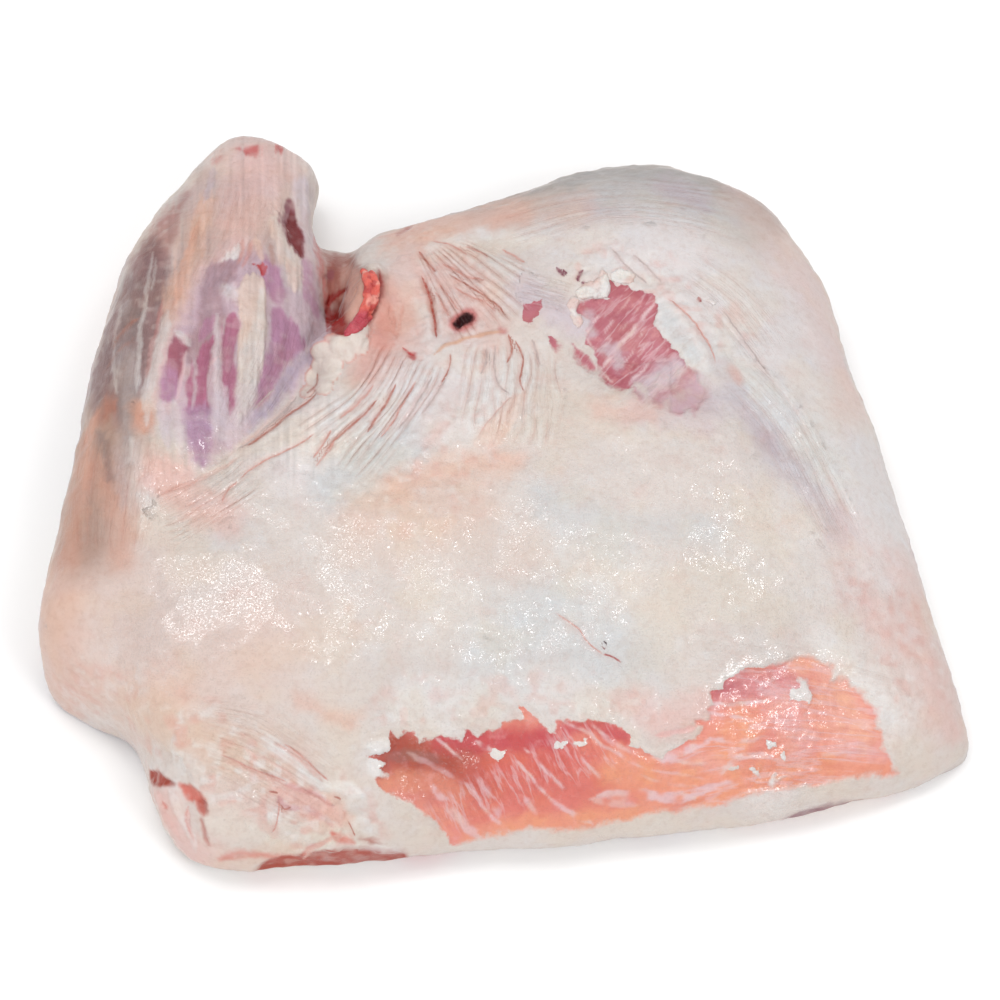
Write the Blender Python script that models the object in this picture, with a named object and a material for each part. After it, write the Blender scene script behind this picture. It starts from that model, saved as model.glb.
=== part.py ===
"""Raw lamb shoulder with its folded foreshank, lying with the fat side up.

Metres, +Z up. +X runs from the elbow to the rib corner, -Y is the flank with
the fat rim, and the flat underside lies at z = 0.
"""

import math
import random

import bmesh
import bpy
import numpy as np
from mathutils import Vector, noise

# Shoulder block, elbow end to rib end: x, flank edge, crest line, back edge, height
BLOCK_STATIONS = (
    (-0.146, -0.072, -0.056, -0.040, 0.022),
    (-0.138, -0.081, -0.054, -0.020, 0.040),
    (-0.127, -0.090, -0.051, 0.000, 0.050),
    (-0.119, -0.100, -0.049, 0.012, 0.054),
    (-0.111, -0.124, -0.046, 0.022, 0.056),
    (-0.100, -0.137, -0.043, 0.031, 0.057),
    (-0.082, -0.140, -0.037, 0.040, 0.058),
    (-0.067, -0.138, -0.031, 0.048, 0.058),
    (-0.058, -0.137, -0.028, 0.066, 0.058),
    (-0.052, -0.137, -0.025, 0.097, 0.058),
    (-0.044, -0.136, -0.022, 0.107, 0.058),
    (-0.030, -0.135, -0.017, 0.112, 0.058),
    (-0.010, -0.133, -0.010, 0.118, 0.059),
    (0.020, -0.131, 0.000, 0.130, 0.060),
    (0.050, -0.128, 0.008, 0.136, 0.060),
    (0.078, -0.124, 0.008, 0.130, 0.058),
    (0.098, -0.120, 0.000, 0.116, 0.053),
    (0.113, -0.116, -0.012, 0.092, 0.047),
    (0.126, -0.113, -0.034, 0.046, 0.041),
    (0.138, -0.108, -0.062, -0.015, 0.034),
    (0.149, -0.103, -0.084, -0.062, 0.025),
    (0.157, -0.097, -0.094, -0.091, 0.014),
)
BLOCK_RIM = 0.011
BLOCK_RIM_SHARE = 0.4
BLOCK_FLANK_FULLNESS = 2.15
BLOCK_BACK_FULLNESS = 2.3
BLOCK_UNDER_FULLNESS = 4.4
BLOCK_SECTIONS = 64
RING_POINTS = 48

# Foreshank, from the elbow to the wrist: x, y, half width, height
SHANK_STATIONS = (
    (-0.141, -0.083, 0.012, 0.028),
    (-0.137, -0.076, 0.021, 0.042),
    (-0.128, -0.056, 0.029, 0.052),
    (-0.118, -0.030, 0.033, 0.057),
    (-0.111, 0.000, 0.037, 0.059),
    (-0.105, 0.026, 0.040, 0.059),
    (-0.102, 0.052, 0.040, 0.057),
    (-0.100, 0.078, 0.037, 0.052),
    (-0.097, 0.100, 0.031, 0.046),
    (-0.091, 0.120, 0.024, 0.042),
    (-0.082, 0.139, 0.019, 0.038),
)
SHANK_LIFT = 0.004
SHANK_SIDE_FULLNESS = 2.2
SHANK_TOP_FULLNESS = 2.2
SHANK_SECTIONS = 48

# Rounded elbow joint under the fat: middle and half sizes
ELBOW_MIDDLE = (-0.110, -0.046, 0.010)
ELBOW_HALF = (0.040, 0.049, 0.047)

# Web of meat that closes the foot of the cleft: middle and half sizes
WEB_MIDDLE = (-0.061, 0.076, 0.011)
WEB_HALF = (0.013, 0.025, 0.018)

# Deep cleft between shank and shoulder: x, y, height of its floor
CLEFT_FLOOR = (
    (-0.066, 0.120, 0.000),
    (-0.062, 0.098, 0.018),
    (-0.059, 0.085, 0.027),
    (-0.057, 0.066, 0.034),
    (-0.058, 0.048, 0.044),
)
CLEFT_HALF_WIDTH = 0.0040
CLEFT_TOP = 0.080
CLEFT_SECTIONS = 24
CLEFT_RING_POINTS = 24

# Broad swells and hollows of the top: x, y, radius, height
SWELLS = (
    (0.056, 0.092, 0.033, 0.0035),
    (0.036, 0.040, 0.031, -0.0030),
    (-0.030, 0.060, 0.026, -0.0025),
    (0.070, -0.050, 0.041, 0.0020),
    (-0.080, -0.108, 0.021, -0.0030),
)

# Slow unevenness all over: height and size
UNEVEN_HEIGHT = 0.0012
UNEVEN_SIZE = 0.022

# Channels pressed into the skin: route in plan, half width, depth at its start and end
CREASE = (((-0.066, 0.026), (-0.087, -0.004), (-0.102, -0.020), (-0.116, -0.034)), 0.0060, 0.0045, 0.0)
BLADE_GROOVE = (
    ((0.067, 0.017), (0.087, 0.003), (0.100, -0.010), (0.112, -0.030), (0.132, -0.051)),
    0.0080, 0.0030, 0.0005,
)
TENDON_SLIT = (((-0.076, 0.106), (-0.075, 0.092), (-0.072, 0.076)), 0.0022, 0.0035, 0.0020)
SHANK_SEAMS = (
    (((-0.112, 0.112), (-0.117, 0.061), (-0.123, 0.024)), 0.0042, 0.0009, 0.0012),
    (((-0.103, 0.090), (-0.100, 0.050), (-0.106, 0.012)), 0.0042, 0.0009, 0.0012),
    (((-0.086, 0.086), (-0.085, 0.045), (-0.094, 0.010)), 0.0042, 0.0009, 0.0012),
)
BREAST_TEAR = (
    ((-0.119, -0.104), (-0.108, -0.113), (-0.102, -0.124), (-0.100, -0.136)),
    0.0035, 0.0050, 0.0030,
)
BREAST_WRINKLES = (
    (((-0.102, -0.096), (-0.078, -0.108), (-0.058, -0.115)), 0.0030, 0.0016, 0.0010),
    (((-0.094, -0.108), (-0.074, -0.116), (-0.052, -0.121)), 0.0030, 0.0016, 0.0010),
    (((-0.090, -0.119), (-0.070, -0.125), (-0.044, -0.129)), 0.0030, 0.0016, 0.0010),
)
CHANNEL_STEPS = 24

# Creases that fan out from the armpit
ARMPIT = (-0.046, 0.062)
FAN_FIRST = math.radians(28)
FAN_LAST = math.radians(-128)
FAN_FOLDS = 12
FAN_SEED = 7
FAN_JITTER = 0.25
FAN_BEND = 0.35
FAN_STEPS = 8
FAN_START = 0.016
FAN_REACH = 0.070
FAN_SHORTEST = 0.6
FAN_HALF_WIDTH = 0.0028
FAN_DEPTH_START = 0.0022
FAN_DEPTH_END = 0.0005

# Windows where the fat is trimmed down to the lean, outlines in plan
BLADE_WINDOW = (
    (0.034, 0.056), (0.055, 0.050), (0.063, 0.031), (0.070, 0.017),
    (0.066, 0.004), (0.055, 0.004), (0.035, 0.018), (0.022, 0.035), (0.028, 0.048),
)
FLANK_WINDOW = (
    (-0.038, -0.108), (-0.010, -0.103), (0.006, -0.098), (0.025, -0.102),
    (0.046, -0.107), (0.064, -0.101), (0.069, -0.092), (0.080, -0.084),
    (0.097, -0.079), (0.112, -0.081), (0.120, -0.092), (0.126, -0.108),
    (0.105, -0.113), (0.064, -0.120), (0.012, -0.128), (-0.018, -0.131),
    (-0.024, -0.124), (-0.040, -0.118),
)
BLADE_WINDOW_DEPTH = 0.0014
FLANK_WINDOW_DEPTH = 0.0017
WINDOW_EDGE = 0.004

# Relief fades out where the skin's normal rises less than this
STEEP_NORMAL = 0.3

# Torn flap and fat beads in the cleft: x, y, z, radius
FLAP_BALLS = 14
FLAP = (
    (-0.045, 0.074, 0.043, 0.0030),
    (-0.044, 0.064, 0.048, 0.0045),
    (-0.048, 0.052, 0.050, 0.0045),
    (-0.054, 0.042, 0.049, 0.0035),
)
BEADS = (
    (-0.056, 0.043, 0.047, 0.0045),
    (-0.050, 0.040, 0.051, 0.0040),
    (-0.060, 0.036, 0.048, 0.0050),
    (-0.055, 0.035, 0.051, 0.0045),
)

# Finish
FAT_COLOUR = (0.78, 0.62, 0.54, 1)
FAT_ROUGHNESS = 0.4

# Surface mesh
SINK = 0.006
VOXEL = 0.0023
SMOOTH_STEPS = 4
MELT_STEPS = 60
MELT_CLEAR = 0.007
MELT_RIM = 0.014
TRIANGLES = 13800


def smooth_rows(rows, count):
    """Rows of numbers read from a smooth curve through the given rows."""
    rows = np.array(rows, float)
    slopes = np.gradient(rows, axis=0)
    out = []
    for t in np.linspace(0, len(rows) - 1, count):
        i = min(int(t), len(rows) - 2)
        u = t - i
        out.append(
            (2 * u**3 - 3 * u**2 + 1) * rows[i]
            + (u**3 - 2 * u**2 + u) * slopes[i]
            + (3 * u**2 - 2 * u**3) * rows[i + 1]
            + (u**3 - u**2) * slopes[i + 1]
        )
    return out


def power(value, exponent):
    """Signed power, the building block of a superellipse."""
    return math.copysign(abs(value) ** exponent, value)


def loft(name, rings):
    """Closed solid through rings of equal point counts, with both ends filled."""
    bm = bmesh.new()
    loops = [[bm.verts.new(point) for point in ring] for ring in rings]
    for first, second in zip(loops, loops[1:]):
        for i in range(len(first)):
            j = (i + 1) % len(first)
            bm.faces.new((first[i], first[j], second[j], second[i]))
    bm.faces.new(loops[0][::-1])
    bm.faces.new(loops[-1])
    bmesh.ops.recalc_face_normals(bm, faces=bm.faces)
    mesh = bpy.data.meshes.new(name)
    bm.to_mesh(mesh)
    bm.free()
    obj = bpy.data.objects.new(name, mesh)
    bpy.context.scene.collection.objects.link(obj)
    return obj


def block_ring(x, flank, crest, back, height):
    """One cross-section of the shoulder block, bulging over a flat base."""
    rim = min(BLOCK_RIM, BLOCK_RIM_SHARE * height)
    ring = []
    for i in range(RING_POINTS):
        angle = 2 * math.pi * i / RING_POINTS
        c, s = math.cos(angle), math.sin(angle)
        if c > 0:
            y = crest + (back - crest) * power(c, 2 / BLOCK_BACK_FULLNESS)
        else:
            y = crest + (crest - flank) * power(c, 2 / BLOCK_FLANK_FULLNESS)
        if s > 0:
            z = rim + (height - rim) * power(s, 2 / BLOCK_FLANK_FULLNESS)
        else:
            z = rim + (rim + SINK) * power(s, 2 / BLOCK_UNDER_FULLNESS)
        ring.append((x, y, z))
    return ring


def shoulder_block():
    rings = [block_ring(*row) for row in smooth_rows(BLOCK_STATIONS, BLOCK_SECTIONS)]
    return loft("block", rings)


def foreshank():
    """Tapering limb that lies along the left side, square to its own centre line."""
    rows = smooth_rows(SHANK_STATIONS, SHANK_SECTIONS)
    rings = []
    for k, (x, y, half, height) in enumerate(rows):
        before, after = rows[max(k - 1, 0)], rows[min(k + 1, len(rows) - 1)]
        along = Vector((after[0] - before[0], after[1] - before[1], 0)).normalized()
        side = Vector((along.y, -along.x, 0))
        raised = (k / len(rows)) ** 3
        bottom = SHANK_LIFT * raised - SINK * (1 - raised)
        middle = (height + bottom) / 2
        ring = []
        for i in range(RING_POINTS):
            angle = 2 * math.pi * i / RING_POINTS
            across = side * half * power(math.cos(angle), 2 / SHANK_SIDE_FULLNESS)
            z = middle + (height - middle) * power(math.sin(angle), 2 / SHANK_TOP_FULLNESS)
            ring.append((x + across.x, y + across.y, z))
        rings.append(ring)
    return loft("shank", rings)


def ball(x, y, z, radius):
    bpy.ops.mesh.primitive_uv_sphere_add(segments=16, ring_count=10, radius=radius, location=(x, y, z))
    return bpy.context.object


def torn_flap():
    """Strip of torn meat that hangs over the cleft, as a row of merging balls."""
    return [ball(*row) for row in smooth_rows(FLAP, FLAP_BALLS)]


def fat_beads():
    return [ball(*row) for row in BEADS]


def ellipsoid(middle, half):
    bpy.ops.mesh.primitive_uv_sphere_add(segments=48, ring_count=24, radius=1, location=middle)
    solid = bpy.context.object
    solid.scale = half
    return solid


def elbow_joint():
    return ellipsoid(ELBOW_MIDDLE, ELBOW_HALF)


def cleft_web():
    return ellipsoid(WEB_MIDDLE, WEB_HALF)


def cleft_cutter():
    """Thin blade with a rounded edge that follows the floor of the cleft."""
    rows = smooth_rows(CLEFT_FLOOR, CLEFT_SECTIONS)
    rings = []
    for k, (x, y, floor) in enumerate(rows):
        before, after = rows[max(k - 1, 0)], rows[min(k + 1, len(rows) - 1)]
        along = Vector((after[0] - before[0], after[1] - before[1], 0)).normalized()
        side = Vector((along.y, -along.x, 0))
        middle = (floor + CLEFT_TOP) / 2
        ring = []
        for i in range(CLEFT_RING_POINTS):
            angle = 2 * math.pi * i / CLEFT_RING_POINTS
            across = side * CLEFT_HALF_WIDTH * math.cos(angle)
            ring.append((x + across.x, y + across.y, middle + (CLEFT_TOP - middle) * math.sin(angle)))
        rings.append(ring)
    cutter = loft("cleft_cutter", rings)
    cutter.hide_render = True
    cutter.display_type = "WIRE"
    return cutter


def near_path(points, path):
    """Distance of each plan point to a route, and how far along the route it is, 0 to 1."""
    path = np.array(path)
    best = np.full(len(points), np.inf)
    along = np.zeros(len(points))
    for k, (a, b) in enumerate(zip(path, path[1:])):
        step = b - a
        t = np.clip((points - a) @ step / (step @ step), 0, 1)
        distance = np.linalg.norm(points - (a + t[:, None] * step), axis=1)
        closer = distance < best
        best[closer] = distance[closer]
        along[closer] = ((k + t) / (len(path) - 1))[closer]
    return best, along


def inside_depth(points, corners):
    """Distance in from the edge of a rounded closed outline, negative outside it."""
    closed = smooth_rows([*corners, corners[0]], 4 * len(corners) + 1)
    outline = np.array(closed[:-1])
    distance, _ = near_path(points, np.vstack([outline, outline[:1]]))
    inside = np.zeros(len(points), bool)
    for a, b in zip(outline, np.roll(outline, -1, axis=0)):
        spans = (a[1] > points[:, 1]) != (b[1] > points[:, 1])
        rise = b[1] - a[1] if b[1] != a[1] else 1
        crossing = a[0] + (points[:, 1] - a[1]) / rise * (b[0] - a[0])
        inside ^= spans & (points[:, 0] < crossing)
    return np.where(inside, distance, -distance)


def groove(plan, channel):
    """Depth of a soft channel along a route through plan points."""
    route, half_width, depth_start, depth_end = channel
    distance, along = near_path(plan, smooth_rows(route, CHANNEL_STEPS))
    depth = depth_start + (depth_end - depth_start) * along
    return depth * np.exp(-((distance / half_width) ** 2))


def fan_folds(plan):
    """Depth of the curved creases that fan out from the armpit."""
    rng = random.Random(FAN_SEED)
    depth = np.zeros(len(plan))
    for k in range(FAN_FOLDS):
        step = (k + rng.uniform(-FAN_JITTER, FAN_JITTER)) / (FAN_FOLDS - 1)
        turn = FAN_FIRST + (FAN_LAST - FAN_FIRST) * step
        bend = rng.uniform(-FAN_BEND, FAN_BEND)
        reach = FAN_REACH * rng.uniform(FAN_SHORTEST, 1.0)
        route = []
        for t in np.linspace(0, 1, FAN_STEPS):
            radius = FAN_START + (reach - FAN_START) * t
            angle = turn + bend * t * t
            route.append((ARMPIT[0] + radius * math.cos(angle), ARMPIT[1] + radius * math.sin(angle)))
        fold = groove(plan, (route, FAN_HALF_WIDTH, FAN_DEPTH_START, FAN_DEPTH_END))
        depth = np.maximum(depth, fold)
    return depth


def skin_points(mesh):
    points = np.empty(len(mesh.vertices) * 3)
    mesh.vertices.foreach_get("co", points)
    return points.reshape(-1, 3)


def melted(obj):
    """Runs the joined shapes into each other, away from the cleft and the rim."""
    mesh = obj.data
    points = skin_points(mesh)
    edges = np.empty(len(mesh.edges) * 2, int)
    mesh.edges.foreach_get("vertices", edges)
    first, second = edges.reshape(-1, 2).T
    neighbours = np.bincount(edges, minlength=len(points))[:, None]
    cleft, _ = near_path(points[:, :2], np.array(CLEFT_FLOOR)[:, :2])
    weight = np.clip(cleft / MELT_CLEAR - 1, 0, 1) * np.clip(points[:, 2] / MELT_RIM - 0.5, 0, 1)
    for _ in range(MELT_STEPS):
        total = np.empty_like(points)
        for axis in range(3):
            total[:, axis] = np.bincount(first, points[second, axis], len(points))
            total[:, axis] += np.bincount(second, points[first, axis], len(points))
        points += 0.5 * weight[:, None] * (total / neighbours - points)
    mesh.vertices.foreach_set("co", points.ravel())
    mesh.update()
    return obj


def sculpted(obj):
    """Presses the swells, folds, seams and trimmed windows into the skin."""
    mesh = obj.data
    places = skin_points(mesh)
    normals = np.empty(places.size)
    mesh.vertex_normals.foreach_get("vector", normals)
    normals = normals.reshape(-1, 3)
    plan = places[:, :2]
    push = np.zeros(len(places))
    for x, y, radius, height in SWELLS:
        push += height * np.exp(-((np.linalg.norm(plan - (x, y), axis=1) / radius) ** 2))
    for channel in (CREASE, BLADE_GROOVE, TENDON_SLIT, *SHANK_SEAMS, BREAST_TEAR, *BREAST_WRINKLES):
        push -= groove(plan, channel)
    push -= fan_folds(plan)
    for outline, depth in ((BLADE_WINDOW, BLADE_WINDOW_DEPTH), (FLANK_WINDOW, FLANK_WINDOW_DEPTH)):
        push -= depth * np.clip(inside_depth(plan, outline) / WINDOW_EDGE + 0.5, 0, 1)
    push += [UNEVEN_HEIGHT * noise.noise(Vector(place) / UNEVEN_SIZE) for place in places]
    upward = np.clip(normals[:, 2] / STEEP_NORMAL, 0, 1)
    places += normals * (push * upward)[:, None]
    mesh.vertices.foreach_set("co", places.ravel())
    mesh.update()
    return obj


def frozen(obj, name):
    """A new object that holds the mesh as its modifiers leave it."""
    graph = bpy.context.evaluated_depsgraph_get()
    mesh = bpy.data.meshes.new_from_object(obj.evaluated_get(graph))
    new = bpy.data.objects.new(name, mesh)
    bpy.context.scene.collection.objects.link(new)
    bpy.data.objects.remove(obj)
    return new


def joined(pieces, cutter=None):
    """One closed skin over all pieces less the cutter, evenly meshed and softened."""
    group = bpy.data.collections.new("shapes")
    first = pieces[0]
    for piece in pieces[1:]:
        for holder in piece.users_collection:
            holder.objects.unlink(piece)
        group.objects.link(piece)
    bpy.context.scene.collection.children.link(group)
    union = first.modifiers.new("union", "BOOLEAN")
    union.operation = "UNION"
    union.operand_type = "COLLECTION"
    union.collection = group
    if cutter:
        cleft = first.modifiers.new("cleft", "BOOLEAN")
        cleft.operation = "DIFFERENCE"
        cleft.object = cutter
    remesh = first.modifiers.new("skin", "REMESH")
    remesh.mode = "VOXEL"
    remesh.voxel_size = VOXEL
    soften = first.modifiers.new("soften", "SMOOTH")
    soften.factor = 0.5
    soften.iterations = SMOOTH_STEPS if cutter else 1
    skin = frozen(first, "skin")
    for piece in [*group.objects, cutter]:
        if piece:
            bpy.data.objects.remove(piece)
    bpy.data.collections.remove(group)
    return skin


def lighter(obj, triangles):
    """The same skin with fewer triangles, most of them where it curves."""
    triangulate = obj.modifiers.new("triangles", "TRIANGULATE")
    triangulate.quad_method = "BEAUTY"
    obj = frozen(obj, "light")
    decimate = obj.modifiers.new("lighter", "DECIMATE")
    decimate.ratio = triangles / len(obj.data.polygons)
    return frozen(obj, "light")


def set_down(obj, name):
    """Cuts the skin level at z = 0, closes it with one flat face and centres it."""
    bm = bmesh.new()
    bm.from_mesh(obj.data)
    cut = bmesh.ops.bisect_plane(
        bm,
        geom=bm.verts[:] + bm.edges[:] + bm.faces[:],
        dist=1e-6,
        plane_co=(0, 0, 0),
        plane_no=(0, 0, -1),
        clear_outer=True,
    )
    edges = [e for e in cut["geom_cut"] if isinstance(e, bmesh.types.BMEdge)]
    bmesh.ops.triangle_fill(bm, edges=edges, use_beauty=True)
    bmesh.ops.recalc_face_normals(bm, faces=bm.faces)
    plan = [vert.co.xy for vert in bm.verts]
    middle_x = (min(p.x for p in plan) + max(p.x for p in plan)) / 2
    middle_y = (min(p.y for p in plan) + max(p.y for p in plan)) / 2
    bmesh.ops.translate(bm, verts=bm.verts, vec=(-middle_x, -middle_y, 0))
    for edge in edges:
        for vert in edge.verts:
            vert.co.z = 0
    mesh = bpy.data.meshes.new(name)
    bm.to_mesh(mesh)
    bm.free()
    bpy.data.objects.remove(obj)
    new = bpy.data.objects.new(name, mesh)
    bpy.context.scene.collection.objects.link(new)
    return new


def fat_material():
    material = bpy.data.materials.new("lamb_fat")
    material.use_nodes = True
    shader = material.node_tree.nodes["Principled BSDF"]
    shader.inputs["Base Color"].default_value = FAT_COLOUR
    shader.inputs["Roughness"].default_value = FAT_ROUGHNESS
    shader.inputs["Metallic"].default_value = 0
    return material


def lamb_shoulder():
    for obj in list(bpy.data.objects):
        bpy.data.objects.remove(obj)
    pieces = [shoulder_block(), foreshank(), elbow_joint(), cleft_web()]
    skin = joined(pieces, cleft_cutter())
    skin = sculpted(melted(skin))
    skin = joined([skin, *torn_flap(), *fat_beads()])
    skin = lighter(skin, TRIANGLES)
    part = set_down(skin, "lamb_shoulder")
    part.data.materials.clear()
    part.data.materials.append(fat_material())
    part.data.shade_smooth()
    return part


lamb_shoulder()
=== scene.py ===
"""Raw lamb shoulder: skin of fat, lean windows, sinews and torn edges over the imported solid.

Metres, +Z up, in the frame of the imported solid. Features of the top are placed by points of the
photograph, which a pinhole camera at the photographer's place carries onto the skin.
"""

import math
from collections import namedtuple

import bmesh
import bpy
import numpy as np
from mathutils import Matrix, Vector
from mathutils.bvhtree import BVHTree
from mathutils.geometry import delaunay_2d_cdt


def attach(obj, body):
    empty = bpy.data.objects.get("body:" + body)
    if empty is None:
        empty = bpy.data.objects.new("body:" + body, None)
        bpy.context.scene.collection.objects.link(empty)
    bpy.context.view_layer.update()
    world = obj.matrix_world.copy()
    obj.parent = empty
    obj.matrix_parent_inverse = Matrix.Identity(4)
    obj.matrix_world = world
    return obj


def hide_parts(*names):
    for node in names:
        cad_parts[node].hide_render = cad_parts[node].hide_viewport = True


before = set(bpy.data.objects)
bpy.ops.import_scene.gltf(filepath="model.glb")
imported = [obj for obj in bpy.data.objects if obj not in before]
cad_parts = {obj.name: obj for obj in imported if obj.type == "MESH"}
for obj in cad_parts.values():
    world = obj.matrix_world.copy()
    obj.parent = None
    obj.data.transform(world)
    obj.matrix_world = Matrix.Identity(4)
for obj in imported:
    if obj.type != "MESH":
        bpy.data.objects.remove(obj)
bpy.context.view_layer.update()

# The photographer's camera
EYE = (-0.00114, -0.48800, 0.84844)
ELEVATION = math.radians(60)
LENS_MM = 100.0
SENSOR_MM = 36.0
PHOTO_WIDTH = 1000
FOCAL_PX = LENS_MM / SENSOR_MM * PHOTO_WIDTH
PHOTO_MIDDLE = PHOTO_WIDTH / 2
BACK = np.array((0.0, -math.cos(ELEVATION), math.sin(ELEVATION)))
UP = np.array((0.0, math.sin(ELEVATION), math.cos(ELEVATION)))
RIGHT = np.array((1.0, 0.0, 0.0))
MM_PER_PX = 0.34
MM = 0.001

# Strands of the shank: how wide and long they are in px, and the corner of the picture they fill
STRAND_PX = np.array((3.2, 40.0))
SHANK_CORNER = (352, 486)

# The small hole, whose walls are painted all round near black, dark blood with painted shade of its depth:
# middle and reach in px, and the lowest height that counts, which keeps the underside out
HOLE = (463, 321)
HOLE_REACH = 22
HOLE_FLOOR = 15 * MM

# How squarely a vertex has to face the camera before the photograph says what it looks like
FACING_NONE = 0.02
FACING_FULL = 0.2

# Fine skin: voxel, smoothing steps that melt the facets away, and triangles left
SKIN_VOXEL = 0.65 * MM
SKIN_SOFTENING = 60
SKIN_TRIANGLES = 280000
DETAIL_LEVELS = 5

# Torn pieces: voxel and smoothing steps of the flap, spacing in px and depth of root of the flakes
TORN_VOXEL = 0.28 * MM
TORN_SOFTENING = 10
FLAKE_SPACING = 1.3
FLAKE_ROOT = 0.5 * MM

# How far round a feature its distances are worked out, in px
WINDOW_REACH = 26
ISLAND_REACH = 6
CRACK_REACH = 8
# How far the painted shade and highlight beside a crack reach
CRACK_SHADE_REACH = 14
GRAIN_REACH = 90

# Folds and fibres of each grain start at a count of their own, this far from the last grain's
FOLD_STRIDE = 20
FIBRE_STRIDE = 50

# How bright the studio light on the skin is: at 1 a paint would show in its own colour
LIGHT_LEVEL = 1.23

# Uneven layers: height or share, size in mm or in strands, seed
EDGE_WANDER = ((1.0, 4, 11), (0.5, 1.7, 13), (0.4, 0.9, 15))
FAT_LUMPS = ((0.55, 19, 51), (0.30, 7.5, 52), (0.15, 3.4, 53), (0.09, 1.7, 54))
ROUGH_LUMPS = ((0.34, 2.8, 55), (0.16, 1.4, 56))
HIDDEN_LEAN = ((1.0, 26, 31), (0.4, 7, 32))
HIDDEN_LEAN_LEVEL = 0.95

# Colours as they look under the studio light, red green blue out of 255
FAT = (222, 211, 205)
CREAM = (229, 220, 212)
IVORY = (228, 216, 205)
SNOW = (234, 230, 228)
TAN_FAT = (224, 199, 185)
BLUSH_FAT = (226, 199, 189)
PINK_FAT = (228, 186, 176)
ROSE_FAT = (230, 192, 185)
PEACH_FAT = (230, 196, 180)
APRICOT = (230, 184, 167)
EDGE_PINK = (226, 188, 173)
SALMON_FAT = (222, 160, 148)
COOL_FAT = (226, 219, 219)
BLUE_GREY = (208, 210, 212)
# Greys of the hump's top edge as it looks in shade where it curves away; the first is also used elsewhere as
# a grey tone of the fat
SHADED_HUMP_GREY = (199, 195, 195)
RIM_SHADE_GREY = (170, 164, 161)
MAUVE = (196, 180, 190)
LILAC = (206, 186, 194)
PALE_LILAC = (212, 198, 206)
SHANK_SINEW = (222, 187, 182)
GREY_SINEW = (197, 173, 169)
TENDON = (217, 208, 205)
WARM_TENDON = (222, 199, 190)
BAND = (216, 178, 162)
ROSE_MEMBRANE = (178, 136, 133)
MEMBRANE = (140, 108, 108)
GREY_MEMBRANE = (140, 121, 119)
PALE_MEMBRANE = (188, 173, 172)
VIOLET_MEMBRANE = (175, 144, 153)
VIOLET = (182, 133, 161)
DEEP_VIOLET = (176, 104, 134)
LOW_VIOLET = (178, 138, 166)
MILKY_VIOLET = (201, 175, 188)
MAGENTA = (164, 96, 112)
BLUE_VIOLET = (181, 167, 186)
ORANGE_FLESH = (176, 122, 106)
PALE_ORANGE = (214, 162, 142)
LOW_SHANK = (180, 147, 133)
SLIT_RED = (124, 52, 54)
SLIT_VIOLET = (148, 94, 106)
RIM_SALMON = (198, 112, 108)
WALL = (172, 120, 110)
PALE_WALL = (218, 172, 158)
SHADED_WALL = (156, 88, 78)
# Dark red flesh, darkened further as painted shade in the depth of the hollow
DARK_RED_AND_SHADE = (152, 22, 16)
FLAP_RED = (236, 110, 98)
# Pale pink of the flap's painted sheen
FLAP_PALE_SHEEN = (248, 172, 160)
FLAP_PURPLE = (198, 74, 92)
RED_SPOT = (192, 66, 66)
# Near black: dark blood with the painted shade of a hole's depth
BLOOD_AND_HOLE_SHADE = (50, 5, 9)
CRACK_RED = (172, 74, 70)
CRACK_BROWN = (186, 118, 104)
CRACK_PINK = (214, 158, 147)
CRACK_GREY = (196, 178, 174)
HONEY = (214, 160, 128)
UPPER_LEAN = (194, 116, 128)
ROSE_LEAN = (206, 134, 146)
WINE_LEAN = (182, 98, 112)
DEEP_LEAN = (204, 86, 92)
BROWN_LEAN = (176, 84, 70)
RED_LEAN = (220, 112, 102)
SALMON = (236, 152, 140)
ORANGE_LEAN = (240, 162, 134)
PEACH_LEAN = (242, 180, 162)
PINK_LEAN = (238, 176, 172)
MAROON = (132, 66, 84)
STREAK = (232, 200, 204)
BREAST_RED = (174, 62, 40)
BREAST_PINK = (220, 122, 108)
BOTTOM_RED = (174, 74, 58)


def linear(colour):
    """The paint that shows as a screen colour out of 255 under the studio light."""
    share = np.array(colour, float) / 255
    return np.where(share <= 0.04045, share / 12.92, ((share + 0.055) / 1.055) ** 2.4) / LIGHT_LEVEL
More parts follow.
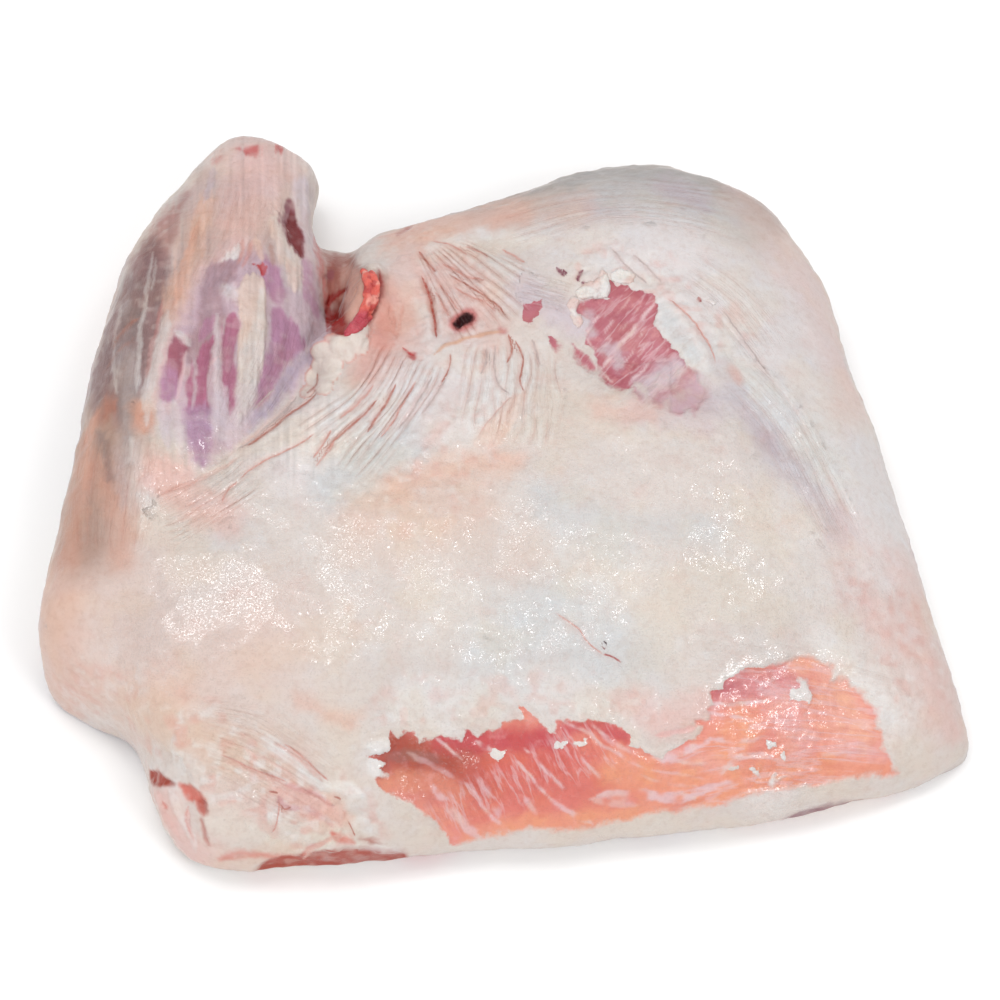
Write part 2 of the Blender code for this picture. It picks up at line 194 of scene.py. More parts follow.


# Broad soft colours of the fat, the greys along the top edge painted shade: colour, strength, reach in px,
# path in px
CLOUDS = (
    (COOL_FAT, 0.9, 130, ((620, 240), (760, 300), (820, 420), (860, 520))),
    (CREAM, 0.6, 110, ((480, 610), (640, 600), (760, 560))),
    # Painted shade along the top edge, where the hump curves away
    (SHADED_HUMP_GREY, 0.9, 50, ((500, 196), (570, 188), (650, 182), (720, 198), (760, 222))),
    (RIM_SHADE_GREY, 0.8, 20, ((470, 206), (560, 176), (650, 166), (730, 186), (776, 220))),
    (MAUVE, 0.6, 18, ((664, 186), (702, 202))),
    (MAUVE, 0.35, 16, ((590, 212), (612, 214))),
    (BLUSH_FAT, 0.7, 110, ((110, 600), (180, 660), (250, 640))),
    (EDGE_PINK, 0.8, 46, ((66, 540), (54, 620), (70, 690))),
    (LOW_SHANK, 0.9, 60, ((110, 430), (92, 500), (84, 540))),
    (PALE_ORANGE, 0.6, 16, ((86, 440), (78, 500), (70, 560))),
    (ROSE_FAT, 0.8, 34, ((156, 470), (190, 500), (226, 516))),
    (TAN_FAT, 0.8, 44, ((140, 715), (200, 735), (290, 755))),
    (PINK_FAT, 0.8, 46, ((400, 296), (410, 330), (392, 360))),
    (BLUSH_FAT, 0.7, 60, ((440, 270), (480, 320), (430, 400))),
    (ROSE_FAT, 0.5, 34, ((440, 286), (470, 300), (450, 320))),
    (SNOW, 0.5, 40, ((505, 380), (470, 430))),
    (COOL_FAT, 0.9, 64, ((450, 370), (380, 420), (300, 460))),
    (SNOW, 0.9, 24, ((790, 690), (806, 692))),
    (SHADED_HUMP_GREY, 0.25, 90, ((700, 560), (760, 640))),
    (SHADED_HUMP_GREY, 0.3, 60, ((400, 690), (520, 680), (640, 690))),
    (SHADED_HUMP_GREY, 0.2, 80, ((160, 620), (230, 560))),
    (IVORY, 0.6, 34, ((300, 440), (350, 460))),
    (PEACH_FAT, 0.9, 26, ((398, 486), (450, 468), (508, 462))),
    (PEACH_FAT, 0.5, 44, ((370, 516), (470, 500))),
    (BLUE_GREY, 0.7, 34, ((326, 490), (360, 462), (412, 444))),
    (BLUE_GREY, 0.6, 42, ((548, 500), (612, 545))),
    (BLUE_GREY, 0.45, 24, ((610, 520), (712, 530))),
    (BLUE_GREY, 0.35, 40, ((520, 640), (600, 650))),
    (PALE_LILAC, 0.8, 30, ((524, 292), (552, 310), (576, 320))),
    (PALE_LILAC, 0.6, 26, ((640, 408), (700, 420), (716, 396))),
    (MAUVE, 0.7, 18, ((724, 372), (748, 412), (776, 446))),
    (MAUVE, 0.5, 24, ((770, 446), (806, 480), (842, 530))),
    (BLUE_GREY, 0.5, 40, ((700, 350), (770, 400), (830, 470))),
    (PINK_FAT, 0.5, 20, ((600, 408), (650, 414))),
    (SNOW, 0.5, 40, ((410, 700), (520, 688), (640, 700))),
    (SNOW, 0.6, 26, ((826, 640), (850, 668), (888, 720))),
    (ROSE_FAT, 0.4, 26, ((868, 608), (900, 640))),
    (ROSE_FAT, 0.3, 46, ((850, 540), (900, 640), (940, 720))),
    (ROSE_FAT, 0.4, 40, ((740, 180), (820, 300), (860, 400))),
    (ROSE_FAT, 0.7, 30, ((636, 700), (660, 722), (700, 706))),
    (ROSE_FAT, 0.5, 26, ((900, 560), (926, 650), (950, 730))),
    (BLUSH_FAT, 0.55, 50, ((220, 800), (300, 800))),
    (TAN_FAT, 0.9, 26, ((196, 740), (240, 762), (290, 790), (330, 812))),
    (APRICOT, 0.6, 14, ((290, 786), (320, 800), (344, 822))),
    (IVORY, 0.7, 30, ((220, 824), (280, 836), (330, 830))),
    (ROSE_FAT, 0.8, 30, ((160, 800), (180, 840), (214, 866))),
    (PINK_FAT, 0.7, 24, ((280, 790), (330, 815))),
    (TAN_FAT, 0.8, 20, ((222, 862), (260, 860), (300, 852))),
    (HONEY, 0.9, 6, ((449, 522), (450, 523))),
    (ROSE_FAT, 0.5, 50, ((430, 250), (456, 290), (470, 312))),
    (SALMON_FAT, 0.5, 24, ((386, 300), (380, 335), (362, 374))),
    (APRICOT, 0.65, 26, ((396, 240), (450, 222), (520, 212))),
    (APRICOT, 0.35, 26, ((500, 214), (580, 206))),
    (SNOW, 0.6, 12, ((430, 246), (480, 236), (540, 240))),
    (BLUE_GREY, 0.6, 70, ((500, 650), (560, 620), (620, 656))),
    (BLUE_GREY, 0.5, 60, ((500, 560), (540, 590))),
    (SNOW, 0.3, 50, ((846, 470), (880, 550))),
    (PALE_ORANGE, 0.6, 26, ((100, 470), (124, 520), (122, 560))),
    (TAN_FAT, 0.5, 50, ((360, 540), (450, 530), (520, 560))),
    (PEACH_FAT, 0.5, 40, ((110, 690), (170, 690))),
    (APRICOT, 0.5, 16, ((300, 700), (350, 720))),
    (SNOW, 0.9, 44, ((746, 690), (776, 720), (766, 780))),
    (SNOW, 0.9, 20, ((480, 750), (580, 745))),
    (SHANK_SINEW, 0.95, 70, ((258, 170), (222, 250), (180, 370))),
)

# Areas with a clear edge: colour, strength, softness of the edge in px, lift in mm, outline in px
PATCHES = (
    (GREY_SINEW, 0.8, 9, 0.0, (
        (196, 172), (216, 174), (216, 210), (224, 240), (214, 262), (196, 262), (190, 240), (196, 206),
    )),
    (ROSE_MEMBRANE, 0.9, 6, 0.0, (
        (190, 190), (168, 208), (146, 236), (128, 264), (140, 280), (160, 270), (176, 244), (182, 218),
    )),
    (MEMBRANE, 0.92, 8, -0.3, (
        (148, 240), (124, 280), (106, 322), (94, 362), (86, 398), (96, 418), (108, 402), (118, 430),
        (128, 406), (136, 424), (146, 398), (154, 352), (166, 302), (170, 268), (162, 246),
    )),
    (MILKY_VIOLET, 0.9, 9, 0.0, (
        (214, 264), (262, 250), (280, 262), (296, 292), (320, 306), (334, 330), (332, 348), (302, 380),
        (266, 420), (214, 460), (196, 468), (176, 440), (160, 404), (164, 366), (178, 322), (196, 288),
    )),
    (GREY_MEMBRANE, 0.85, 4, 0.0, (
        (120, 318), (134, 306), (144, 320), (140, 356), (138, 410), (128, 446), (118, 420), (115, 360),
    )),
    (PALE_MEMBRANE, 0.7, 9, 0.0, ((118, 356), (136, 352), (140, 410), (134, 470), (122, 476), (118, 420))),
    (BAND, 0.85, 6, 0.4, (
        (206, 194), (218, 200), (206, 232), (198, 262), (188, 290), (176, 318), (164, 324), (162, 308),
        (172, 274), (182, 236), (192, 208),
    )),
    (VIOLET_MEMBRANE, 0.9, 4, -0.2, (
        (208, 268), (222, 263), (238, 254), (238, 272), (230, 284), (222, 296), (226, 312), (218, 334),
        (204, 350), (188, 366), (184, 348), (196, 320), (200, 292),
    )),
    (SNOW, 0.7, 2, 0.5, ((221, 262), (228, 252), (238, 246), (241, 250), (238, 256), (229, 260))),
    (SNOW, 0.5, 4, 0.2, ((221, 286), (230, 284), (238, 292), (232, 300), (223, 296))),
    (MAGENTA, 0.95, 2, -0.4, (
        (174, 333), (184, 340), (191, 350), (185, 360), (182, 374), (176, 386), (168, 380), (166, 366),
        (170, 348),
    )),
    (VIOLET, 0.9, 4, -0.3, (
        (166, 366), (176, 372), (180, 384), (174, 396), (166, 402), (160, 392), (162, 378),
    )),
    (DEEP_VIOLET, 0.95, 2, -0.4, (
        (204, 342), (213, 336), (215, 352), (211, 368), (210, 392), (212, 410), (198, 412), (186, 412),
        (189, 400), (185, 386), (190, 372), (196, 356),
    )),
    (LOW_VIOLET, 0.9, 4, -0.2, (
        (186, 408), (212, 406), (211, 440), (210, 454), (202, 466), (195, 460), (190, 446), (184, 428),
    )),
    (VIOLET, 0.9, 2, -0.3, ((202, 322), (212, 316), (214, 330), (206, 338), (198, 342))),
    (DEEP_VIOLET, 0.9, 2, -0.4, (
        (226, 320), (233, 314), (239, 326), (236, 346), (237, 368), (236, 388), (234, 404), (230, 414),
        (227, 406), (227, 390), (222, 376), (220, 358), (222, 338),
    )),
    (VIOLET, 0.9, 3, -0.2, (
        (264, 254), (274, 262), (281, 276), (287, 292), (284, 302), (270, 300), (264, 286), (262, 270),
    )),
    (GREY_SINEW, 0.8, 5, 0.0, ((262, 232), (270, 226), (276, 240), (280, 262), (270, 262), (262, 250))),
    (LILAC, 0.9, 8, 0.2, (
        (284, 296), (300, 290), (318, 306), (330, 326), (332, 344), (318, 352), (308, 362), (298, 356),
        (290, 330),
    )),
    (VIOLET, 0.95, 3, -0.3, (
        (270, 312), (281, 308), (292, 320), (300, 334), (306, 346), (298, 354), (288, 362), (282, 376),
        (272, 390), (262, 402), (255, 406), (255, 394), (259, 378), (264, 360), (268, 340), (269, 324),
    )),
    (BLUE_VIOLET, 0.85, 5, 0.1, (
        (302, 352), (312, 362), (296, 376), (286, 394), (272, 412), (258, 426), (250, 434), (250, 416),
        (260, 404), (276, 388), (286, 370),
    )),
    (LILAC, 0.8, 5, 0.0, (
        (300, 214), (312, 220), (318, 256), (322, 296), (312, 300), (304, 274), (301, 244),
    )),
    (VIOLET, 0.7, 4, 0.0, ((300, 262), (308, 262), (314, 290), (320, 316), (310, 310), (302, 290))),
    (PALE_LILAC, 0.8, 5, 0.5, (
        (292, 184), (302, 176), (312, 186), (314, 212), (306, 226), (298, 214), (292, 200),
    )),
    (WARM_TENDON, 0.9, 2, 0.7, (
        (266, 222), (278, 214), (286, 226), (292, 242), (300, 256), (301, 276), (297, 290), (289, 286),
        (284, 268), (276, 246),
    )),
    (TENDON, 0.7, 4, 0.0, ((274, 216), (284, 226), (292, 244), (299, 262), (292, 262), (282, 244))),
    (SLIT_VIOLET, 0.95, 2.5, -0.4, (
        (283, 201), (291, 198), (294, 212), (299, 228), (303, 242), (302, 258), (295, 252), (287, 240),
        (281, 222),
    )),
    (SLIT_RED, 0.95, 2, -0.8, (
        (287, 216), (292, 213), (297, 226), (301, 240), (301, 256), (295, 249), (289, 239), (285, 226),
    )),
    (RIM_SALMON, 0.85, 3, 0.2, (
        (315, 238), (321, 248), (328, 284), (334, 314), (337, 334), (330, 330), (322, 298),
    )),
    (WARM_TENDON, 1.0, 1.5, 1.2, (
        (246, 276), (256, 272), (263, 284), (267, 302), (268, 320), (267, 336), (264, 350), (261, 366),
        (258, 380), (252, 384), (238, 382), (236, 368), (236, 352), (237, 338), (242, 326), (239, 308),
        (238, 292),
    )),
    (TENDON, 0.9, 3, 0.2, (
        (262, 290), (268, 320), (266, 340), (261, 366), (257, 384), (240, 384), (237, 364), (244, 344),
        (254, 318),
    )),
    (TENDON, 0.8, 5, 0.4, ((238, 380), (257, 380), (254, 398), (246, 420), (239, 424), (237, 404))),
    (PALE_LILAC, 0.7, 5, 0.0, (
        (214, 396), (226, 404), (232, 420), (250, 416), (244, 434), (222, 440), (212, 426),
    )),
    (ORANGE_FLESH, 0.85, 5, 0.0, ((104, 400), (117, 396), (116, 412), (106, 420), (95, 428), (97, 414))),
    (PALE_ORANGE, 0.85, 6, 0.0, ((128, 404), (144, 402), (156, 416), (152, 432), (140, 436), (132, 420))),
    (ROSE_FAT, 0.7, 8, 0.0, ((148, 462), (170, 458), (188, 470), (192, 490), (166, 500), (150, 486))),
    (RED_SPOT, 0.75, 3, -0.5, ((238, 149), (250, 146), (259, 145), (258, 155), (252, 154), (244, 153))),
    (RED_SPOT, 0.7, 2, -0.4, ((275, 146), (281, 144), (285, 149), (278, 153))),
    (RED_SPOT, 0.4, 3, -0.3, ((214, 160), (224, 156), (222, 160), (215, 163))),
    (RED_SPOT, 0.95, 1, -0.9, ((252, 264), (260, 264), (266, 266), (266, 272), (261, 274), (257, 268))),
    (WALL, 0.95, 6, 0.0, (
        (323, 246), (338, 254), (350, 254), (358, 264), (364, 270), (384, 276), (382, 292), (376, 306),
        (366, 322), (350, 338), (332, 338), (330, 300), (324, 268),
    )),
    (PALE_WALL, 0.8, 4, 0.0, (
        (336, 276), (348, 266), (362, 276), (364, 300), (356, 318), (347, 322), (341, 304), (336, 292),
    )),
    (SHADED_WALL, 0.85, 5, 0.0, (
        (326, 262), (338, 262), (342, 278), (340, 296), (347, 312), (344, 336), (332, 336),
    )),
    # A dark red band on the wall, then the depth of the hollow behind the shank in painted shade over dark
    # red
    (DARK_RED_AND_SHADE, 0.9, 2, -0.8, ((326, 302), (334, 294), (346, 287), (347, 293), (338, 298), (330, 306))),
    (DARK_RED_AND_SHADE, 0.95, 4, -0.8, ((324, 312), (335, 308), (344, 318), (348, 330), (342, 340), (330, 336))),
    (MAROON, 0.6, 3, 0.0, ((325, 274), (334, 272), (333, 278), (326, 279))),
    # Painted shadow that the torn flap casts on the wall to its right
    (DARK_RED_AND_SHADE, 0.85, 3, -1.4, (
        (378, 268), (384, 282), (382, 298), (376, 312), (369, 326), (366, 322), (372, 306), (377, 290),
    )),
    (SALMON_FAT, 0.7, 5, 0.3, (
        (381, 300), (390, 304), (394, 322), (394, 340), (386, 352), (374, 348), (370, 334),
    )),
    (PINK_FAT, 0.8, 6, 0.7, (
        (392, 262), (404, 254), (418, 262), (424, 280), (420, 298), (408, 304), (394, 300), (386, 284),
    )),
    (SNOW, 0.35, 9, 0.3, (
        (384, 262), (398, 254), (414, 262), (420, 280), (412, 298), (398, 292), (390, 278),
    )),
    (SNOW, 0.5, 7, 0.3, ((414, 300), (424, 304), (434, 330), (436, 346), (426, 348), (420, 326))),
    (RED_SPOT, 0.7, 3, 0.0, (
        (451, 330), (450, 322), (455, 315), (464, 309), (474, 310), (476, 321), (469, 328), (460, 333),
    )),
    # Inside of the hole: dark blood with painted shade of its depth
    (BLOOD_AND_HOLE_SHADE, 1.0, 1, -2.6, (
        (457, 329), (453, 325), (456, 321), (459, 316), (464, 313), (471, 314), (473, 320), (469, 324),
        (464, 326), (461, 329),
    )),
    (RED_SPOT, 0.8, 2, -0.5, ((409, 352), (415, 352), (414, 360), (409, 358))),
    (RED_SPOT, 0.5, 3, -0.2, ((498, 326), (506, 328), (505, 334), (498, 333))),
    (PEACH_FAT, 0.6, 3, 0.25, (
        (473, 444), (485, 426), (496, 412), (508, 400), (526, 391), (523, 406), (508, 435), (496, 448),
        (482, 447),
    )),
    (CRACK_RED, 0.6, 2, -0.4, ((396, 234), (404, 228), (412, 225), (408, 230), (399, 236))),
    (SNOW, 0.7, 3, 0.5, (
        (657, 298), (668, 301), (682, 313), (696, 331), (706, 350), (709, 368), (701, 374), (690, 369),
        (679, 357), (666, 340), (657, 325), (655, 311),
    )),
    (BLUE_GREY, 0.6, 5, 0.0, (
        (659, 306), (672, 312), (686, 328), (696, 346), (701, 362), (692, 364), (678, 350), (664, 332),
    )),
    (LILAC, 0.5, 4, -0.3, ((700, 374), (710, 380), (712, 404), (702, 412))),
    (CRACK_PINK, 0.5, 4, -0.2, ((728, 368), (736, 368), (742, 380), (736, 384))),
    (SNOW, 0.85, 3, 0.7, ((334, 783), (350, 783), (361, 790), (364, 797), (350, 798), (338, 792))),
    (SNOW, 0.7, 4, 0.9, (
        (260, 737), (276, 738), (292, 750), (312, 768), (336, 786), (322, 790), (296, 770), (272, 752),
    )),
    (BREAST_RED, 0.95, 2, -1.6, ((150, 772), (158, 771), (167, 778), (176, 784), (166, 786), (152, 784))),
    (BREAST_PINK, 0.95, 3, -1.0, (
        (179, 783), (189, 785), (198, 792), (205, 800), (208, 811), (205, 816), (199, 810), (193, 801),
        (185, 798),
    )),
    (BREAST_RED, 0.7, 3, -0.8, ((196, 800), (205, 801), (208, 811), (205, 816), (199, 810))),
    (BREAST_RED, 0.6, 2, -0.8, ((201, 820), (204, 820), (207, 834), (210, 846), (204, 838))),
    (BREAST_PINK, 0.9, 2, -0.8, ((330, 831), (340, 835), (353, 840), (354, 845), (341, 845), (333, 839))),
    (BOTTOM_RED, 0.7, 2, -0.5, ((358, 838), (368, 838), (380, 843), (370, 843))),
    (BREAST_PINK, 0.6, 3, -0.4, (
        (220, 855), (236, 850), (262, 853), (290, 854), (290, 859), (250, 858), (222, 860),
    )),
    (BOTTOM_RED, 0.95, 2, -0.9, (
        (252, 882), (262, 864), (276, 857), (298, 854), (322, 850), (345, 846), (364, 846), (386, 849),
        (406, 853), (400, 872), (330, 880),
    )),
    (SNOW, 0.8, 3, 0.6, ((366, 747), (377, 740), (389, 739), (395, 745), (388, 752), (374, 755))),
    (SNOW, 0.8, 3, 0.6, (
        (368, 762), (378, 756), (388, 757), (388, 765), (382, 771), (386, 779), (376, 778), (368, 771),
    )),
    (SNOW, 0.6, 4, 0.4, ((430, 728), (446, 722), (456, 730), (442, 736))),
    (MAROON, 0.8, 2, -0.8, (
        (786, 820), (800, 812), (822, 806), (846, 802), (864, 799), (852, 812), (816, 824),
    )),
)

# Strips of sinew, membrane and streaks: colour, strength, width in px at each end, lift in mm, path
STRIPS = (
    (GREY_SINEW, 0.7, 12, 8, -0.1, ((198, 178), (189, 214), (183, 246), (176, 268))),
    (MAUVE, 0.5, 8, 5, -0.2, ((213, 168), (210, 184), (204, 202))),
    (PALE_ORANGE, 0.5, 8, 8, 0.2, ((200, 218), (186, 262), (174, 306))),
    (TENDON, 0.6, 14, 10, 0.3, ((168, 312), (160, 340), (153, 370), (147, 398), (147, 424))),
    (RIM_SALMON, 0.35, 5, 4, -0.2, ((163, 300), (154, 340), (146, 378))),
    (TENDON, 0.5, 4, 5, 0.2, ((122, 306), (116, 330), (114, 356), (116, 394))),
    (TENDON, 0.55, 4, 6, 0.2, ((148, 296), (142, 318), (139, 350), (137, 392))),
    (TENDON, 0.45, 3, 4, 0.3, ((153, 252), (149, 276), (146, 300))),
    (TENDON, 0.4, 3, 3, 0.3, ((157, 258), (154, 276), (152, 290))),
    (ORANGE_FLESH, 0.6, 3, 3, 0.2, ((112, 348), (122, 332), (140, 316))),
    (ORANGE_FLESH, 0.4, 2, 2, 0.1, ((104, 372), (118, 352), (134, 338))),
    (PALE_LILAC, 0.85, 5, 8, 0.4, ((218, 314), (216, 344), (217, 376), (219, 412))),
    (PALE_LILAC, 0.55, 4, 4, 0.2, ((195, 358), (195, 392), (193, 408))),
    (SNOW, 0.5, 6, 8, 0.3, ((176, 332), (184, 338), (190, 346))),
    (STREAK, 0.6, 4, 4, 0.2, ((187, 352), (184, 366), (180, 382), (178, 398))),
    (STREAK, 0.6, 3, 2, 0.2, ((208, 366), (214, 360), (219, 356))),
    (PALE_LILAC, 0.6, 8, 12, 0.2, ((160, 398), (164, 420), (168, 446))),
    (TENDON, 0.5, 8, 12, 0.2, ((174, 400), (176, 426), (180, 452))),
    (SALMON_FAT, 0.5, 4, 3, -0.5, ((243, 238), (243, 250), (239, 264))),
    (SALMON_FAT, 0.5, 4, 3, -0.5, ((252, 240), (248, 254), (243, 268))),
    (PEACH_FAT, 0.6, 7, 5, 0.5, ((256, 236), (258, 250), (262, 262))),
    (ORANGE_FLESH, 0.4, 6, 5, 0.0, ((270, 244), (273, 256), (274, 266))),
    (GREY_MEMBRANE, 0.6, 8, 8, 0.0, ((100, 430), (108, 460), (112, 490))),
    (GREY_SINEW, 0.6, 8, 12, 0.0, ((112, 440), (122, 470), (124, 510))),
    (SNOW, 0.4, 4, 4, 0.1, ((131, 436), (133, 450), (134, 462))),
    (PALE_ORANGE, 0.8, 8, 8, 0.0, ((98, 410), (88, 450), (84, 500))),
    (ORANGE_FLESH, 0.5, 4, 5, 0.0, ((100, 418), (112, 406))),
    (HONEY, 0.7, 4, 4, 0.2, ((434, 354), (446, 346), (462, 339), (480, 334), (502, 330))),
    (SALMON_FAT, 0.5, 4, 3, -0.4, ((404, 304), (400, 322), (396, 340))),
    (SALMON_FAT, 0.35, 5, 4, -0.7, ((389, 306), (393, 320), (395, 338))),
    (CRACK_BROWN, 0.5, 3, 3, -0.7, ((372, 326), (366, 340), (362, 352))),
    (ROSE_FAT, 0.8, 8, 6, 0.3, ((158, 790), (164, 812), (180, 838))),
    (SNOW, 0.4, 9, 6, 0.5, ((170, 790), (179, 812), (191, 834), (196, 852))),
    (ROSE_FAT, 0.8, 3, 3, -0.4, ((188, 806), (190, 826), (193, 842))),
    (BREAST_PINK, 0.6, 4, 3, -0.3, ((163, 802), (168, 808))),
    (BREAST_PINK, 0.5, 4, 4, -0.3, ((302, 856), (313, 846), (326, 842))),
    (SNOW, 0.6, 8, 6, 0.4, ((326, 848), (348, 846), (376, 848), (400, 851))),
    (CRACK_PINK, 0.4, 5, 4, -0.3, ((154, 492), (184, 486), (214, 472), (236, 458))),
    (PINK_FAT, 0.9, 12, 14, 0.0, ((276, 790), (300, 794), (324, 806), (340, 824))),
    (ROSE_LEAN, 0.30, 6, 5, -0.2, ((284, 784), (304, 790), (322, 798), (334, 806))),
    (CRACK_PINK, 0.6, 3, 3, -0.3, ((296, 788), (314, 796), (332, 804))),
    (ROSE_LEAN, 0.25, 7, 4, -0.2, ((304, 806), (318, 814), (334, 828))),
    (ROSE_LEAN, 0.45, 8, 6, -0.3, ((278, 796), (286, 806), (300, 808))),
    (PINK_FAT, 0.7, 4, 4, -0.3, ((272, 742), (290, 752), (306, 766), (322, 780))),
    (PINK_FAT, 0.5, 5, 4, -0.2, ((222, 760), (252, 770), (284, 784))),
    (PINK_FAT, 0.5, 3, 3, -0.2, ((240, 748), (266, 760), (296, 778))),
    (PINK_FAT, 0.8, 5, 4, -0.2, ((304, 858), (314, 848), (332, 838), (352, 836))),
    (PINK_LEAN, 0.5, 6, 6, -0.2, ((655, 736), (676, 732), (696, 726))),
    (BREAST_PINK, 0.5, 2, 2, -0.2, ((188, 806), (186, 818), (190, 832))),
)

# Folds and fibres that run between two guide lines: folds between them, their depth in mm, how strongly
# they show in the bump and as painted shade in their hollows and creases and painted highlight on their
# ridges, how finely the fibres between them lie, both guides in px
Grain = namedtuple("Grain", "folds depth strength fibres first last")
GRAINS = (
    Grain(9, 0.10, 0.0, 34, ((366, 730), (400, 796), (428, 860)), ((610, 690), (652, 762), (706, 824))),
    Grain(7, 0.10, 0.0, 24, ((668, 610), (790, 628), (930, 670)), ((652, 850), (770, 818), (930, 806))),
    Grain(6, 0.10, 0.0, 22, ((540, 366), (584, 308), (640, 256)), ((630, 446), (690, 396), (744, 346))),
    Grain(7, 0.12, 0.0, 34, ((178, 300), (176, 390), (186, 486)), ((340, 300), (310, 384), (250, 450))),
    Grain(14, 0.42, 0.8, 34, ((394, 222), (470, 232), (560, 268)), ((412, 252), (428, 300), (448, 352))),
    Grain(11, 0.36, 0.7, 30, ((458, 334), (452, 376), (440, 430)), ((566, 324), (570, 390), (566, 460))),
    Grain(13, 0.50, 0.9, 34,
          ((462, 344), (440, 400), (368, 500)),
          ((378, 326), (350, 378), (304, 412), (206, 470))),
    Grain(9, 0.40, 0.6, 26, ((236, 440), (200, 468), (140, 496)), ((310, 476), (250, 506), (170, 560))),
    Grain(17, 0.25, 0.3, 40, ((190, 690), (270, 700), (366, 768)), ((150, 752), (222, 800), (310, 846))),
    Grain(8, 0.10, 0.4, 30, ((76, 410), (64, 480), (66, 570)), ((176, 410), (166, 486), (150, 570))),
    Grain(6, 0.25, 0.25, 24, ((604, 256), (690, 302), (758, 384)), ((694, 246), (764, 296), (826, 388))),
    Grain(5, 0.35, 0.3, 20, ((690, 366), (756, 436), (830, 570)), ((750, 346), (812, 416), (886, 566))),
    Grain(9, 0.15, 0.35, 30, ((508, 262), (544, 272), (580, 282)), ((508, 302), (540, 310), (576, 322))),
    Grain(9, 0.20, 0.4, 30, ((450, 206), (590, 172), (760, 182)), ((500, 256), (630, 226), (790, 262))),
    Grain(6, 0.10, 0.2, 30, ((112, 230), (92, 330), (80, 410)), ((200, 220), (172, 330), (154, 410))),
    Grain(6, 0.10, 0.2, 26, ((200, 160), (180, 230), (160, 300)), ((300, 160), (280, 240), (220, 320))),
)

# Windows where the fat is trimmed down to the lean: recess in mm, outline in px
Window = namedtuple("Window", "recess outline")
WINDOWS = (
    Window(0.7, (
        (592, 300), (604, 298), (611, 300), (610, 292), (608, 281), (616, 284), (628, 285), (634, 291),
        (641, 290), (652, 294), (658, 302), (655, 312), (656, 326), (664, 338), (672, 350), (680, 359),
        (688, 366), (700, 372), (698, 382), (706, 392), (700, 402), (696, 414), (688, 408), (683, 418),
        (672, 414), (668, 402), (660, 406), (648, 398), (640, 384), (632, 388), (622, 392), (610, 388),
        (602, 378), (598, 366), (596, 352), (588, 342), (584, 332), (590, 320), (580, 316), (577, 308),
        (582, 302),
    )),
    Window(0.5, (
        (523, 304), (531, 303), (541, 299), (539, 308), (535, 316), (533, 325), (528, 327), (523, 320),
    )),
    Window(0.4, ((546, 337), (554, 338), (561, 345), (557, 351), (550, 345))),
    Window(0.4, ((572, 342), (580, 350), (590, 357), (595, 368), (588, 371), (580, 364), (574, 354))),
    Window(0.3, ((632, 388), (638, 391), (645, 397), (640, 401), (634, 396))),
    Window(0.4, (
        (388, 744), (390, 732), (398, 739), (406, 731), (414, 729), (417, 744), (424, 738), (440, 737),
        (456, 738), (462, 741), (463, 730), (474, 733), (480, 737), (484, 730), (500, 727), (505, 720),
        (516, 722), (524, 720), (520, 709), (527, 711), (538, 721), (549, 733), (553, 732), (556, 720),
        (574, 720), (604, 722), (622, 727), (631, 738), (628, 745), (646, 753), (662, 760), (672, 750),
        (684, 740), (696, 735), (704, 728), (694, 724), (694, 718), (702, 717), (710, 720), (708, 708),
        (716, 703), (710, 692), (716, 688), (724, 688), (728, 680), (746, 669), (762, 667), (786, 659),
        (808, 656), (822, 664), (834, 668), (832, 680), (842, 676), (850, 688), (860, 690), (870, 703),
        (878, 710), (877, 724), (884, 746), (893, 762), (897, 776), (872, 777), (838, 780), (814, 784),
        (776, 788), (744, 796), (722, 803), (696, 809), (660, 813), (630, 818), (604, 823), (592, 829),
        (556, 829), (530, 829), (500, 832), (480, 837), (460, 843), (449, 843), (446, 834), (432, 818),
        (412, 803), (396, 796), (382, 790), (376, 780), (386, 776), (379, 768), (387, 762), (378, 759),
        (367, 758), (380, 754), (388, 752),
    )),
)

# Where the lean fades into the fat instead of ending at an edge: fade in mm, reach in px, path in px
FADES = (
    (1.9, 26, ((694, 416), (672, 408), (650, 392))),
    (1.6, 22, ((698, 378), (708, 400), (694, 416))),
    (1.4, 16, ((560, 350), (596, 372), (616, 392))),
    (1.5, 34, ((790, 656), (840, 676), (872, 706))),
    (1.0, 30, ((880, 720), (892, 760))),
    (0.8, 20, ((700, 700), (704, 740))),
    (1.7, 26, ((470, 842), (520, 832), (640, 818), (800, 786), (896, 776))),
    (0.7, 24, ((384, 786), (420, 812), (446, 838))),
    (0.5, 16, ((400, 736), (470, 736), (540, 724), (620, 730))),
    (0.8, 14, ((580, 302), (586, 330))),
)

# Flecks of fat left on the lean: outlines in px
ISLANDS = (
    (
        (785, 695), (790, 686), (798, 684), (802, 676), (808, 680), (805, 688), (811, 694), (812, 706),
        (803, 702), (794, 698), (789, 701),
    ),
    ((765, 745), (768, 740), (773, 743), (777, 741), (776, 749), (771, 747), (768, 751)),
    ((777, 757), (782, 751), (785, 756), (783, 762), (780, 759)),
    ((769, 782), (773, 776), (776, 771), (778, 777), (783, 776), (777, 782), (773, 785)),
    ((724, 770), (729, 766), (733, 768), (739, 766), (736, 771), (731, 774), (727, 772)),
    ((746, 773), (750, 768), (754, 771), (758, 769), (757, 775), (751, 776)),
    ((553, 746), (556, 740), (560, 743), (564, 738), (566, 744), (561, 749), (557, 748)),
    ((571, 745), (575, 740), (581, 742), (586, 740), (584, 745), (578, 748)),
    ((490, 756), (494, 750), (499, 752), (505, 751), (502, 757), (496, 759)),
)

